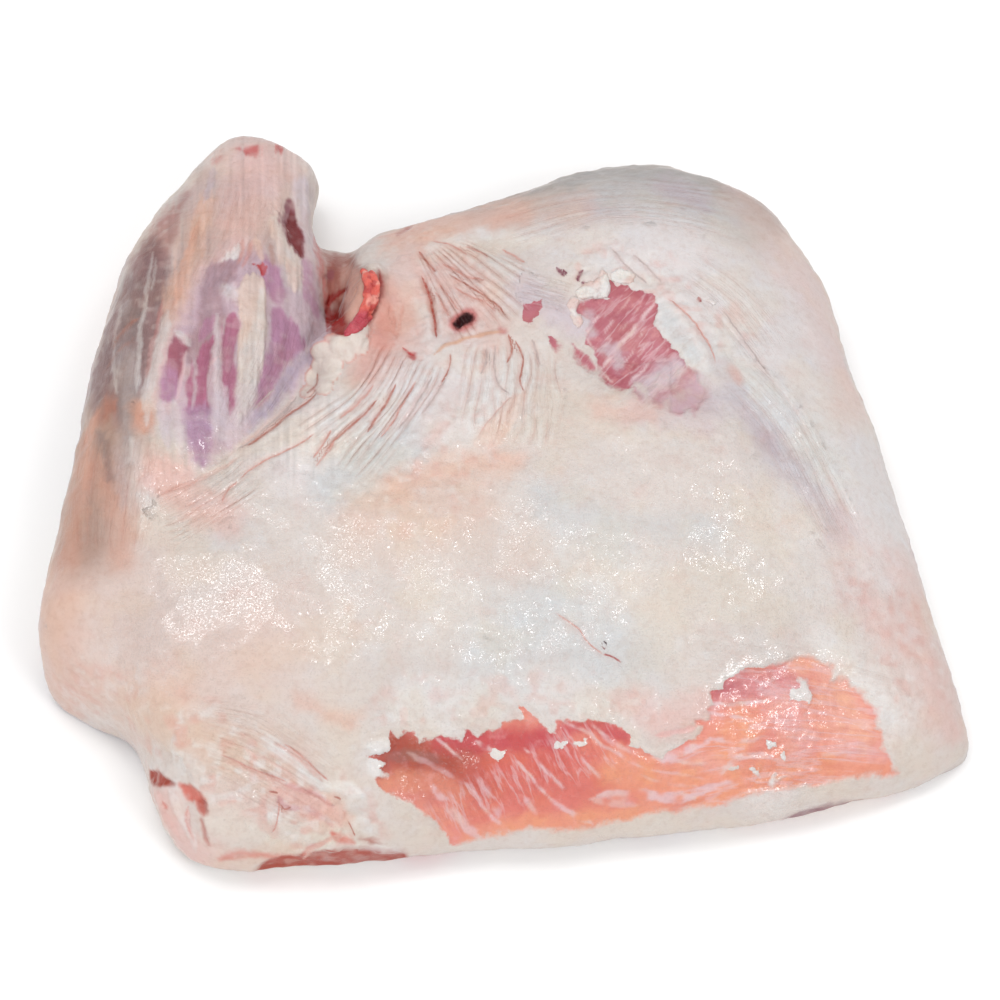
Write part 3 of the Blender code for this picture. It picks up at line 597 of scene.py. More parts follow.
# Soft colours of the lean in the windows: colour, strength, reach in px, path in px
LEAN_CLOUDS = (
    (DEEP_LEAN, 0.5, 50, ((400, 750), (460, 760), (540, 756))),
    (BROWN_LEAN, 0.6, 40, ((390, 750), (430, 762), (480, 770))),
    (UPPER_LEAN, 1.0, 130, ((540, 300), (600, 330), (680, 390))),
    (ROSE_LEAN, 0.8, 18, ((632, 344), (646, 334), (652, 350))),
    (WINE_LEAN, 0.8, 14, ((606, 376), (622, 378), (634, 362))),
    (WINE_LEAN, 0.8, 12, ((612, 288), (648, 294))),
    (PALE_LILAC, 0.7, 10, ((606, 350), (618, 352), (616, 366))),
    (PALE_LILAC, 0.9, 20, ((646, 388), (662, 376), (676, 372))),
    (ROSE_LEAN, 0.9, 24, ((676, 406), (692, 398), (696, 384))),
    (PALE_LILAC, 0.65, 22, ((670, 404), (690, 396), (700, 384))),
    (PALE_LILAC, 0.7, 9, ((588, 316), (590, 332))),
    (RED_LEAN, 0.7, 60, ((480, 790), (560, 780), (640, 760))),
    (BROWN_LEAN, 0.9, 22, ((396, 745), (430, 756), (460, 760))),
    (DEEP_LEAN, 0.95, 22, ((446, 742), (500, 740), (540, 742), (556, 752))),
    (RED_LEAN, 0.9, 20, ((470, 768), (520, 764), (560, 760))),
    (DEEP_LEAN, 0.8, 12, ((566, 728), (600, 728), (624, 738))),
    (DEEP_LEAN, 0.7, 10, ((716, 692), (732, 686))),
    (ROSE_LEAN, 0.6, 26, ((730, 690), (760, 684), (790, 680))),
    (GREY_MEMBRANE, 0.55, 9, ((394, 758), (414, 754), (436, 762))),
    (BROWN_LEAN, 0.5, 40, ((390, 770), (430, 776), (460, 770))),
    (ORANGE_LEAN, 0.5, 18, ((392, 784), (430, 782), (460, 794))),
    (ORANGE_LEAN, 0.8, 16, ((470, 834), (540, 824), (600, 820), (660, 808))),
    (ORANGE_LEAN, 0.9, 34, ((620, 770), (690, 776), (740, 728))),
    (ORANGE_LEAN, 0.8, 26, ((700, 800), (780, 772), (880, 766))),
    (PEACH_LEAN, 0.8, 40, ((840, 700), (850, 730))),
    (PEACH_LEAN, 0.6, 20, ((800, 662), (830, 676))),
    (PINK_LEAN, 0.6, 16, ((858, 750), (884, 752))),
    (PINK_LEAN, 0.7, 26, ((780, 700), (800, 740))),
    (PINK_LEAN, 0.5, 16, ((640, 742), (680, 756), (720, 764))),
)

# Pale streaks over the lean and sinew: strength, width in px at each end, path
STREAKS = (
    (1.0, 2.4, 2.4, ((612, 298), (598, 315), (584, 336))),
    (1.0, 3.4, 3.4, ((657, 300), (630, 334), (600, 370))),
    (1.0, 2.6, 2.4, ((668, 338), (645, 367), (622, 394))),
    (0.8, 1.6, 1.6, ((645, 328), (630, 355), (622, 366))),
    (0.9, 1.8, 1.8, ((588, 338), (594, 352), (596, 370))),
    (0.9, 1.8, 1.8, ((600, 371), (613, 383))),
    (0.7, 1.8, 1.8, ((630, 298), (612, 322), (600, 338))),
    (0.5, 1.6, 1.6, ((640, 306), (622, 330))),
    (0.5, 1.6, 1.6, ((652, 336), (636, 360), (626, 374))),
    (0.8, 3, 3, ((436, 738), (448, 748), (461, 759))),
    (0.8, 4, 3, ((476, 740), (486, 748), (496, 754))),
    (0.8, 2, 4, ((512, 758), (530, 776), (546, 796))),
    (0.7, 4, 3, ((524, 748), (538, 762), (556, 780), (564, 788))),
    (0.7, 4, 5, ((547, 795), (560, 806), (576, 816), (592, 824))),
    (0.65, 8, 11, ((434, 786), (450, 808), (468, 826), (480, 836))),
    (0.6, 7, 6, ((480, 778), (492, 800), (500, 818))),
    (0.6, 3, 4, ((463, 778), (474, 794), (490, 814), (508, 830))),
    (0.5, 6, 5, ((524, 798), (536, 814))),
    (0.4, 6, 4, ((408, 752), (440, 770), (470, 784))),
    (0.6, 4, 3, ((566, 722), (582, 730), (604, 746), (646, 770))),
    (0.6, 3, 3, ((588, 723), (606, 735))),
    (0.5, 5, 4, ((600, 732), (615, 744), (640, 757))),
    (0.5, 5, 4, ((580, 758), (600, 778))),
    (0.85, 10, 12, ((598, 797), (630, 794), (664, 797), (694, 800))),
    (0.5, 8, 6, ((590, 800), (616, 803), (640, 804))),
    (0.8, 9, 5, ((688, 800), (700, 791), (714, 786), (738, 783))),
    (0.8, 10, 8, ((648, 748), (664, 757), (690, 748), (712, 738))),
    (0.6, 5, 4, ((652, 758), (684, 762), (714, 765))),
    (0.7, 6, 3, ((712, 738), (740, 741), (770, 737))),
    (0.9, 4, 4, ((708, 703), (740, 703), (766, 701))),
    (0.8, 4, 3, ((690, 713), (716, 714), (747, 718))),
    (0.8, 7, 6, ((712, 778), (728, 766), (748, 756), (772, 757))),
    (0.5, 3, 3, ((650, 770), (690, 776), (716, 780))),
    (0.4, 3, 3, ((640, 776), (680, 786), (712, 788))),
    (0.5, 4, 4, ((790, 662), (778, 676), (756, 690))),
    (0.5, 3, 3, ((740, 722), (780, 716), (830, 712))),
    (0.4, 4, 4, ((812, 756), (850, 752), (880, 752))),
)

# Single cracks: colour, half width in mm, depth in mm, path in px
CRACKS = (
    (BREAST_RED, 0.45, 1.8, ((421, 274), (427, 288), (431, 302), (434, 318), (437, 340))),
    (CRACK_BROWN, 0.35, 0.8, ((418, 250), (424, 259), (430, 266), (437, 272))),
    (CRACK_PINK, 0.40, 0.7, ((441, 263), (456, 270), (468, 277), (486, 280))),
    (CRACK_BROWN, 0.25, 0.5, ((446, 272), (473, 289), (496, 304), (508, 318))),
    (CRACK_PINK, 0.25, 0.5, ((452, 286), (473, 298), (486, 303), (498, 314))),
    (CRACK_PINK, 0.22, 0.4, ((438, 282), (448, 296), (460, 312))),
    (CRACK_PINK, 0.22, 0.4, ((434, 290), (442, 304), (450, 318))),
    (CRACK_PINK, 0.25, 0.5, ((500, 249), (514, 256), (527, 264))),
    (CRACK_PINK, 0.22, 0.4, ((464, 246), (480, 252), (490, 258))),
    (CRACK_PINK, 0.22, 0.4, ((430, 240), (452, 246), (470, 256))),
    (RED_SPOT, 0.40, 0.5, ((402, 347), (408, 352), (414, 356))),
    (CRACK_BROWN, 0.30, 0.6, ((508, 332), (512, 350), (506, 365))),
    (CRACK_BROWN, 0.25, 0.6, ((514, 338), (523, 359), (520, 382), (526, 394))),
    (CRACK_GREY, 0.25, 0.5, ((531, 338), (536, 352), (541, 366))),
    (CRACK_GREY, 0.22, 0.5, ((496, 341), (494, 366), (500, 386), (512, 396))),
    (CRACK_GREY, 0.22, 0.5, ((486, 346), (486, 362), (480, 376))),
    (CRACK_BROWN, 0.22, 0.5, ((450, 352), (449, 368), (440, 384))),
    (CRACK_PINK, 0.10, 0.3, ((520, 393), (508, 400), (496, 412), (485, 426), (475, 441))),
    (CRACK_BROWN, 0.45, 1.1, ((397, 382), (389, 398), (380, 412), (372, 425), (366, 434))),
    (CRACK_BROWN, 0.30, 1.0, ((380, 396), (368, 410), (354, 424), (338, 438), (322, 455))),
    (CRACK_PINK, 0.35, 0.9, ((374, 382), (370, 391), (360, 402), (349, 411), (338, 420))),
    (CRACK_PINK, 0.30, 0.7, ((417, 378), (405, 400), (391, 424), (379, 440))),
    (CRACK_GREY, 0.30, 0.7, ((434, 372), (424, 392), (410, 414), (396, 432))),
    (CRACK_GREY, 0.22, 0.5, ((446, 378), (434, 398), (420, 416))),
    (CRACK_BROWN, 0.35, 0.9, ((320, 390), (308, 402), (290, 414), (268, 432), (244, 448))),
    (CRACK_GREY, 0.30, 0.6, ((300, 392), (288, 408), (270, 424), (252, 440), (234, 452))),
    (CRACK_PINK, 0.30, 0.6, ((332, 428), (322, 446), (312, 460))),
    (CRACK_PINK, 0.25, 0.5, ((318, 430), (296, 446), (262, 462), (236, 482))),
    (CRACK_PINK, 0.25, 0.5, ((240, 480), (228, 490), (220, 504))),
    (CRACK_BROWN, 0.30, 0.5, ((318, 372), (316, 384), (306, 394))),
    (CRACK_GREY, 0.20, 0.4, ((252, 412), (262, 400), (276, 388))),
    (CRACK_PINK, 0.14, 0.4, ((552, 610), (566, 620), (578, 627), (587, 641), (599, 651), (609, 657))),
    (CRACK_RED, 0.22, 0.3, ((603, 653), (612, 657), (622, 663))),
    (BLOOD_AND_HOLE_SHADE, 0.30, 0.2, ((604, 641), (607, 643))),
    (CRACK_PINK, 0.20, 0.3, ((664, 296), (680, 308), (696, 324), (710, 346), (718, 368))),
    (CRACK_GREY, 0.22, 0.3, ((610, 246), (622, 260), (636, 274), (650, 286))),
    (CRACK_GREY, 0.20, 0.3, ((632, 252), (650, 270), (664, 284))),
    (CRACK_GREY, 0.15, 0.3, ((720, 304), (736, 328), (756, 356), (776, 384))),
    (CRACK_RED, 0.50, 0.5, ((698, 297), (702, 302))),
    (MAROON, 0.65, 0.5, ((556, 267), (560, 272), (564, 276))),
    (MAROON, 0.35, 0.3, ((562, 270), (567, 273))),
    (MAROON, 0.70, 0.5, ((583, 270), (579, 276), (577, 281))),
    (MAROON, 0.55, 0.5, ((581, 281), (587, 285))),
    (CRACK_PINK, 0.20, 0.4, ((279, 797), (279, 812), (276, 826), (270, 834))),
    (CRACK_BROWN, 0.22, 0.4, ((268, 791), (278, 793))),
    (CRACK_BROWN, 0.18, 0.4, ((280, 804), (285, 809), (292, 806))),
    (CRACK_BROWN, 0.25, 0.5, ((334, 796), (341, 799))),
    (CRACK_PINK, 0.30, 0.6, ((282, 742), (300, 754), (314, 768), (330, 782))),
    (CRACK_PINK, 0.20, 0.4, ((216, 752), (250, 768), (292, 784))),
    (CRACK_BROWN, 0.14, 0.4, ((346, 818), (352, 830), (356, 838))),
    (CRACK_PINK, 0.20, 0.4, ((336, 440), (326, 454), (314, 468))),
)

# Wet areas that glint: strength, reach in px, path in px
WET_AREAS = (
    (1.0, 84, ((170, 640), (240, 600), (262, 590))),
    (0.6, 44, ((336, 570), (346, 600), (330, 660))),
    (0.5, 50, ((455, 590), (470, 640), (520, 660))),
    (0.5, 60, ((560, 640), (660, 650), (720, 640))),
    (1.0, 60, ((740, 676), (776, 700), (784, 740), (776, 784))),
    (0.8, 26, ((200, 430), (202, 462))),
    (0.7, 26, ((160, 500), (230, 476))),
    (0.5, 60, ((240, 790), (310, 820))),
    (0.4, 90, ((420, 760), (560, 780), (660, 770))),
    (0.3, 330, ((300, 600), (700, 600))),
)

# Pieces of fat torn up at an edge: thickness in mm, outline in px
FLAKES = (
    (1.1, ((600, 271), (606, 273), (609, 296), (598, 299), (590, 297), (584, 292), (589, 284), (596, 279))),
    (0.8, ((576, 294), (583, 284), (593, 281), (599, 288), (595, 297), (583, 299))),
    (0.8, ((611, 272), (622, 269), (634, 273), (634, 281), (622, 284), (612, 281))),
    (0.5, ((568, 301), (575, 295), (580, 302), (577, 310), (583, 321), (577, 328), (571, 316))),
    (0.4, ((706, 301), (711, 299), (717, 302), (713, 306))),
)

# Torn muscle that hangs in the hollow behind the shank: half width in px at each end, lift in mm, path
FLAP_STRANDS = (
    (5.5, 6.6, 0.3, ((364, 271), (368, 284), (369, 297), (365, 309), (360, 318))),
    (4.6, 5.0, 0.1, ((371, 272), (376, 286), (374, 299), (369, 312))),
    (6.0, 4.0, 0.0, ((366, 312), (359, 320), (351, 329), (346, 335))),
    (4.4, 3.0, 0.0, ((370, 317), (363, 324), (354, 333))),
)

# Lobes of fat along the hollow's lower edge: middle and half lengths in px, turn in degrees
LOBES = (
    ((335, 340), (12, 6), -5),
    ((343, 348), (15, 12), -20),
    ((346, 356), (11, 8), 0),
    ((358, 343), (14, 12), -40),
    ((321, 351), (12, 10), 20),
    ((332, 358), (12, 9), 30),
    ((321, 366), (10, 12), 10),
    ((332, 368), (12, 14), 0),
    ((313, 378), (9, 9), 30),
    ((323, 384), (11, 13), 35),
    ((307, 390), (9, 7), 40),
    ((364, 329), (9, 7), -30),
)

# Mottles of the sides that the photograph doesn't show: colour, size in mm, seed
HIDDEN_MOTTLES = (
    (ROSE_FAT, 30, 61),
    (TAN_FAT, 22, 81),
    (SHADED_HUMP_GREY, 36, 83),
    (MAUVE, 26, 85),
)

# Where the fat is lumpy and mottled with pink: strength, reach in px, path in px
ROUGH_AREAS = (
    (1.0, 60, ((190, 740), (280, 790), (340, 830))),
    (0.6, 36, ((400, 704), (520, 694), (640, 700))),
    (0.7, 40, ((600, 270), (650, 280), (720, 330))),
    (0.4, 60, ((410, 250), (460, 300), (440, 350))),
    (0.6, 50, ((90, 690), (150, 700))),
    (0.6, 60, ((470, 440), (420, 500))),
    (0.6, 50, ((870, 580), (920, 680))),
)

# Where the skin keeps its finest mesh: strength, reach in px, path in px
FINE_AREAS = (
    (1, 90, ((240, 200), (220, 330), (230, 430))),
    (1, 90, ((380, 280), (420, 330), (340, 430))),
    (1, 60, ((480, 300), (500, 380))),
    (1, 80, ((600, 310), (680, 380))),
    (1, 70, ((400, 770), (600, 770), (860, 720))),
    (1, 60, ((180, 800), (280, 820))),
)


# Numbers worked out over many vertices at once

def soft_step(value, low, high):
    """0 below low, 1 above high, with a smooth rise between."""
    share = np.clip((value - low) / (high - low), 0, 1)
    return share * share * (3 - 2 * share)


def past_ends(share, low, high):
    """0 at both ends of a way that runs from 0 to 1, and 1 further in."""
    return soft_step(np.minimum(share, 1 - share), low, high)


def dice(cells, seed):
    """Repeatable random numbers from -1 to 1, one for each whole-number cell."""
    mixed = (cells[:, 0] * 73856093) ^ (cells[:, 1] * 19349663) ^ (cells[:, 2] * 83492791)
    mixed = (mixed ^ (seed * 40503)) & 0x7FFFFFFF
    mixed = ((mixed ^ (mixed >> 13)) * 1274126177) & 0x7FFFFFFF
    mixed = ((mixed ^ (mixed >> 15)) * 668265263) & 0x7FFFFFFF
    return (mixed ^ (mixed >> 14)) % 65536 / 32767.5 - 1


def unevenness(points, size, seed):
    """Smooth random heights from -1 to 1 whose bumps are about as wide as size."""
    places = points / size
    cells = np.floor(places).astype(np.int64)
    inside = places - cells
    blend = inside * inside * (3 - 2 * inside)
    total = np.zeros(len(points))
    for corner in np.ndindex(2, 2, 2):
        weight = np.prod(np.where(corner, blend, 1 - blend), axis=1)
        total += weight * dice(cells + corner, seed)
    return total * 1.6


def layered(points, layers, seed_shift=0):
    """Sum of uneven layers, whose sizes are in mm."""
    total = 0
    for height, size, seed in layers:
        total = total + height * unevenness(points, size * MM, seed + seed_shift)
    return total


def in_pairs(points, layers):
    """Two sums of the same layers for shifts along the picture's two sides."""
    return np.stack([layered(points, layers), layered(points, layers, 1)], 1)


def smooth_path(path, steps=6):
    """Points on a smooth curve through the path's points."""
    path = np.array(path, float)
    if len(path) < 3:
        return path
    slopes = np.gradient(path, axis=0)
    out = []
    for i in range(len(path) - 1):
        for u in np.arange(steps) / steps:
            out.append(
                (2 * u**3 - 3 * u**2 + 1) * path[i]
                + (u**3 - 2 * u**2 + u) * slopes[i]
                + (3 * u**2 - 2 * u**3) * path[i + 1]
                + (u**3 - u**2) * slopes[i + 1]
            )
    return np.array([*out, path[-1]])


def near_path(places, path):
    """Distance of each place to a path, signed by its side, and the share of the path passed."""
    best = np.full(len(places), np.inf)
    side = np.ones(len(places))
    passed = np.zeros(len(places))
    lengths = np.linalg.norm(np.diff(path, axis=0), axis=1)
    starts = np.concatenate([[0], np.cumsum(lengths)])
    for k, (a, b) in enumerate(zip(path, path[1:])):
        step = b - a
        offset = places - a
        share = np.clip(offset @ step / (step @ step), 0, 1)
        gap = offset - share[:, None] * step
        distance = np.hypot(gap[:, 0], gap[:, 1])
        closer = distance < best
        best[closer] = distance[closer]
        side[closer] = np.sign(step[0] * offset[closer, 1] - step[1] * offset[closer, 0])
        passed[closer] = (starts[k] + share[closer] * lengths[k]) / starts[-1]
    return best * np.where(side == 0, 1, side), passed


def close_to(places, path, reach):
    """Numbers of the places that may lie within reach of the path."""
    low = np.min(path, axis=0) - reach
    high = np.max(path, axis=0) + reach
    return np.flatnonzero(np.all((places > low) & (places < high), axis=1))


def smooth_ring(outline):
    """A closed smooth curve through an outline's points, without its first point again."""
    wrapped = [*outline[-2:], *outline, *outline[:3]]
    curve = smooth_path(wrapped, 4)
    return curve[8:8 + 4 * len(outline)]


def outline_depth(places, outline):
    """Distance in from a closed outline's edge, negative outside it."""
    ring = np.array([*outline, outline[0]], float)
    distance, _ = near_path(places, ring)
    inside = np.zeros(len(places), bool)
    for a, b in zip(ring, ring[1:]):
        spans = (a[1] > places[:, 1]) != (b[1] > places[:, 1])
        rise = b[1] - a[1] if b[1] != a[1] else 1
        crossing = a[0] + (places[:, 1] - a[1]) / rise * (b[0] - a[0])
        inside ^= spans & (places[:, 0] < crossing)
    return np.where(inside, 1, -1) * np.abs(distance)


# The skin and what its features need to know of each vertex

class Skin:
    """A mesh's vertices, where they fall in the photograph, and how far they face it."""

    def __init__(self, mesh):
        self.mesh = mesh
        self.points = self.read("vertices", "co")
        self.normals = self.read("vertex_normals", "vector")
        offset = self.points - EYE
        depth = -(offset @ BACK)
        self.pixels = PHOTO_MIDDLE + FOCAL_PX * np.stack([offset @ RIGHT, -(offset @ UP)], 1) / depth[:, None]
        away = -offset / np.linalg.norm(offset, axis=1)[:, None]
        self.facing = soft_step(np.sum(self.normals * away, axis=1), FACING_NONE, FACING_FULL)
        hole = soft_step(HOLE_REACH - np.linalg.norm(self.pixels - HOLE, axis=1), 0, 4)
        self.facing = np.maximum(self.facing, hole * (self.points[:, 2] > HOLE_FLOOR))
        self.wander = in_pairs(self.points, EDGE_WANDER)
        strands = np.concatenate([self.pixels / STRAND_PX, np.zeros((len(self.points), 1))], 1)
        inside = soft_step(SHANK_CORNER - self.pixels, 0, 24)
        self.fray = unevenness(strands, 1.0, 17) + 0.5 * unevenness(strands * 2.1, 1.0, 18)
        self.fray *= inside[:, 0] * inside[:, 1]

    def read(self, items, name):
        """A vector for each vertex of the mesh."""
        rows = np.empty(len(self.mesh.vertices) * 3)
        getattr(self.mesh, items).foreach_get(name, rows)
        return rows.reshape(-1, 3)

    def near(self, path, reach, wander_px=0.0):
        """Vertices within reach of a path, their signed distances in px and shares passed."""
        path = smooth_path(path)
        chosen = close_to(self.pixels, path, reach + 2 * wander_px)
        places = self.pixels[chosen] + wander_px * self.wander[chosen]
        distance, passed = near_path(places, path)
        return chosen, distance, passed

    def around(self, path, reach, falloff, wander_px=0.0):
        """Vertices within reach of a path, and shares that fall from 1 near it to 0."""
        chosen, distance, _ = self.near(path, reach, wander_px)
        return chosen, soft_step(1 - np.abs(distance) / reach, 0, falloff)

    def strongest(self, areas, falloff, wander_px=0.0):
        """The greatest of the areas' strengths at each vertex."""
        field = np.zeros(len(self.points))
        for strength, reach, path in areas:
            chosen, share = self.around(path, reach, falloff, wander_px)
            field[chosen] = np.maximum(field[chosen], strength * share)
        return field


def grain_fields(skin):
    """Fold count, way along, fold strength, fold depth and fibre count of the strongest grain at
    each vertex, and how fully it covers the vertex alone."""
    fields = np.zeros((len(skin.points), 5))
    best = np.zeros(len(skin.points))
    second = np.zeros(len(skin.points))
    for number, grain in enumerate(GRAINS):
        corners = np.array([*grain.first, *grain.last], float)
        chosen = close_to(skin.pixels, corners, GRAIN_REACH)
        places = skin.pixels[chosen]
        first, along = near_path(places, smooth_path(grain.first))
        last, reached = near_path(places, smooth_path(grain.last))
        side = np.sign(near_path(np.array(grain.last, float)[1:2], smooth_path(grain.first))[0][0])
        first = first * side
        last = -last * side
        share = first / np.where(first + last == 0, 1, first + last)
        edge = past_ends(share, 0, 0.16)
        ends = past_ends(along, 0, 0.2) * past_ends(reached, 0, 0.12)
        cover = edge * ends * (first > 0) * (last > 0)
        stronger = cover > best[chosen]
        second[chosen] = np.maximum(second[chosen], np.minimum(cover, best[chosen]))
        kept, share, along, cover = chosen[stronger], share[stronger], along[stronger], cover[stronger]
        count = share * grain.folds
        layer = np.full(len(kept), number + 0.5)
        sway = np.stack([count * 0.7, along * 4, layer], 1)
        count = count + 0.45 * unevenness(sway, 1.0, 71)
        fold = np.round(count)
        stretch = np.stack([fold * 5.3, along * 3.5, layer], 1)
        presence = soft_step(unevenness(stretch, 1.0, 72), -0.8, 0.5)
        best[kept] = cover
        fields[kept, 0] = number * FOLD_STRIDE + count
        fields[kept, 1] = along * 10
        fields[kept, 2] = grain.strength * cover * presence
        fields[kept, 3] = grain.depth * cover * presence
        fields[kept, 4] = number * FIBRE_STRIDE + share * grain.fibres
    alone = soft_step(best - second, 0.04, 0.24) * skin.facing
    fields[:, 2] *= alone
    fields[:, 3] *= alone
    return fields, best * alone


def lean_depth(skin):
    """Millimetres in from the ragged edge of the nearest window, negative on the fat."""
    depth = np.full(len(skin.points), -9.0)
    for window in WINDOWS:
        chosen = close_to(skin.pixels, np.array(window.outline, float), WINDOW_REACH)
        places = skin.pixels[chosen] + 2.0 * skin.wander[chosen]
        depth[chosen] = np.maximum(depth[chosen], outline_depth(places, window.outline) * MM_PER_PX)
    for outline in ISLANDS:
        chosen = close_to(skin.pixels, np.array(outline, float), ISLAND_REACH)
        places = skin.pixels[chosen] + 2.4 * skin.wander[chosen]
        depth[chosen] = np.minimum(depth[chosen], -1.2 * MM_PER_PX * outline_depth(places, outline))
    hidden = 6 * (layered(skin.points, HIDDEN_LEAN) - HIDDEN_LEAN_LEVEL)
    hidden = hidden + 0.6 * unevenness(skin.points, 2.5 * MM, 33)
    return np.where(skin.facing > 0.5, depth, np.minimum(hidden, 4))


def window_relief(skin):
    """Recess of the windows and the uneven lip of fat round them."""
    depth = lean_depth(skin)
    rise = np.zeros(len(depth))
    recess = np.full(len(depth), 0.5)
    for window in WINDOWS:
        recess[close_to(skin.pixels, np.array(window.outline, float), WINDOW_REACH)] = window.recess
    rise -= recess * soft_step(depth, -0.2, 0.6)
    lip = np.exp(-(((depth + 0.9) / 0.8) ** 2))
    rise += 0.3 * recess * lip * (0.6 + 0.9 * unevenness(skin.points, 4 * MM, 34))
    return rise


def patch_depth(skin, outline, reach):
    """Vertices in and near an outlined area, and how many px each lies in from its edge."""
    ring = smooth_ring(outline)
    chosen = close_to(skin.pixels, ring, reach + 3)
    places = skin.pixels[chosen] + (0.7 + 0.12 * reach) * skin.wander[chosen]
    return chosen, outline_depth(places, ring) + 1.6 * skin.fray[chosen]


def patch_relief(skin):
    """Areas that stand up from the rest or lie below it."""
    rise = np.zeros(len(skin.points))
    for _, _, softness, lift, outline in PATCHES:
        if lift:
            chosen, depth = patch_depth(skin, outline, softness + 2)
            rise[chosen] += lift * soft_step(depth, -1.5, 3.5 + softness / 2) * skin.facing[chosen]
    return rise


def strip_cover(skin, width_start, width_end, path):
    """Vertices of a strip, how fully it covers each, and how far from its middle line each lies."""
    widest = max(width_start, width_end)
    softness = 1.0 + 0.06 * widest
    chosen, distance, passed = skin.near(path, widest / 2 + softness + 2, wander_px=0.6 + 0.06 * widest)
    half = (width_start + (width_end - width_start) * passed) / 2
    half = half * (0.25 + 0.75 * past_ends(passed, -0.02, 0.16))
    cover = soft_step(half - np.abs(distance), -softness, softness)
    return chosen, cover, np.abs(distance) / half


def strip_relief(skin):
    """Tendons that stand up and slits that cut in, rounded across their width."""
    rise = np.zeros(len(skin.points))
    for _, _, width_start, width_end, lift, path in STRIPS:
        if lift:
            chosen, cover, across = strip_cover(skin, width_start, width_end, path)
            crown = np.sqrt(np.clip(1.15 - across**2, 0, 1))
            rise[chosen] += lift * cover * crown * skin.facing[chosen]
    return rise


def lobe_height(skin):
    """Height in mm of the lobes of fat, 0 beside them."""
    height = np.zeros(len(skin.points))
    for middle, half_px, turn in LOBES:
        chosen = close_to(skin.pixels, np.array([middle]), 1.5 * max(half_px))
        offset = skin.pixels[chosen] + 1.0 * skin.wander[chosen] - middle
        turn = math.radians(turn)
        along = (offset[:, 0] * math.cos(turn) - offset[:, 1] * math.sin(turn)) / half_px[0]
        across = (offset[:, 0] * math.sin(turn) + offset[:, 1] * math.cos(turn)) / half_px[1]
        crown = np.sqrt(np.clip(1 - along**2 - across**2, 0, 1))
        height[chosen] = np.maximum(height[chosen], 0.38 * min(half_px) * MM_PER_PX * crown)
    return height * skin.facing


def crack_relief(skin):
    """Cracks as narrow valleys that run out at their ends."""
    rise = np.zeros(len(skin.points))
    for _, half_width, depth, path in CRACKS:
        chosen, distance, passed = skin.near(path, CRACK_REACH, wander_px=0.5)
        across = distance * MM_PER_PX / (half_width + 0.55)
        taper = past_ends(passed, 0, 0.15)
        rise[chosen] -= 0.8 * depth * np.exp(-(across**2)) * taper * skin.facing[chosen]
    return rise


def grain_relief(skin):
    """Folds of the grain: soft ridges with a narrow crease between each two."""
    fields, _ = grain_fields(skin)
    from_crease = np.abs(fields[:, 0] - np.round(fields[:, 0]))
    crease = np.exp(-((from_crease / 0.20) ** 2))
    return fields[:, 3] * (0.2 + 0.4 * np.cos(2 * math.pi * (from_crease + 0.5)) - 0.6 * crease)


def roughness(skin):
    """How lumpy and mottled the fat is at each vertex, from 0 to 1."""
    return skin.strongest(ROUGH_AREAS, 0.6, wander_px=4.0) * skin.facing


def fat_relief(skin):
    """Lumps of the fat, large to small."""
    return roughness(skin) * layered(skin.points, ROUGH_LUMPS) + layered(skin.points, FAT_LUMPS)


def placed(name, data):
    """A new object in the scene that shows the data."""
    obj = bpy.data.objects.new(name, data)
    bpy.context.scene.collection.objects.link(obj)
    return obj


def applied(obj):
    """Swaps the object's mesh for the one that its modifiers make."""
    graph = bpy.context.evaluated_depsgraph_get()
    mesh = bpy.data.meshes.new_from_object(obj.evaluated_get(graph))
    obj.modifiers.clear()
    old = obj.data
    obj.data = mesh
    bpy.data.meshes.remove(old)


def remeshed(piece, voxel, softening):
    """Gives a piece an even skin of small faces and smooths it."""
    even = piece.modifiers.new("even", "REMESH")
    even.mode = "VOXEL"
    even.voxel_size = voxel
    soften = piece.modifiers.new("soften", "SMOOTH")
    soften.iterations = softening
    applied(piece)


def fine_copy(name, solid):
    """An even, dense copy of a solid with its facets rounded off."""
    piece = placed(name, solid.data.copy())
    weld = piece.modifiers.new("weld", "WELD")
    weld.merge_threshold = 0.01 * MM
    rounder = piece.modifiers.new("rounder", "SUBSURF")
    rounder.levels = rounder.render_levels = 1
    remeshed(piece, SKIN_VOXEL, SKIN_SOFTENING)
    return piece


def sculpted(piece):
    """Raises and sinks the skin by all the relief, down to the flat that it lies on."""
    skin = Skin(piece.data)
    rise = fat_relief(skin) + window_relief(skin) + patch_relief(skin) + strip_relief(skin)
    rise += crack_relief(skin) + grain_relief(skin) + lobe_height(skin)
    grounded = soft_step(skin.points[:, 2], 0.5 * MM, 4 * MM)
    moved = skin.points + skin.normals * (rise * MM * grounded)[:, None]
    moved[:, 2] = np.maximum(moved[:, 2], 0)
    piece.data.vertices.foreach_set("co", moved.ravel())
    piece.data.update()


def lightened(piece):
    """Drops triangles where the skin is plain and keeps them where it has detail."""
    skin = Skin(piece.data)
    detail = skin.strongest(FINE_AREAS, 0.2) * skin.facing
    plain = piece.vertex_groups.new(name="plain")
    finest = DETAIL_LEVELS - 1
    for level in range(DETAIL_LEVELS):
        at_level = np.flatnonzero(np.round(detail * finest) == level)
        plain.add(at_level.tolist(), 1 - level / finest, "REPLACE")
    fewer = piece.modifiers.new("fewer", "DECIMATE")
    fewer.ratio = SKIN_TRIANGLES / (2 * len(piece.data.polygons))
    fewer.vertex_group = "plain"
    fewer.vertex_group_factor = 0.5
    applied(piece)
    piece.vertex_groups.clear()


EVERYONE = slice(None)


def even_tint(colour, count):
    """The same colour for every vertex."""
    return np.tile(linear(colour), (count, 1))


def blended(base, chosen, colour, weight):
    """Blends a colour into the tints of the chosen vertices."""
    base[chosen] += (linear(colour) - base[chosen]) * weight[:, None]


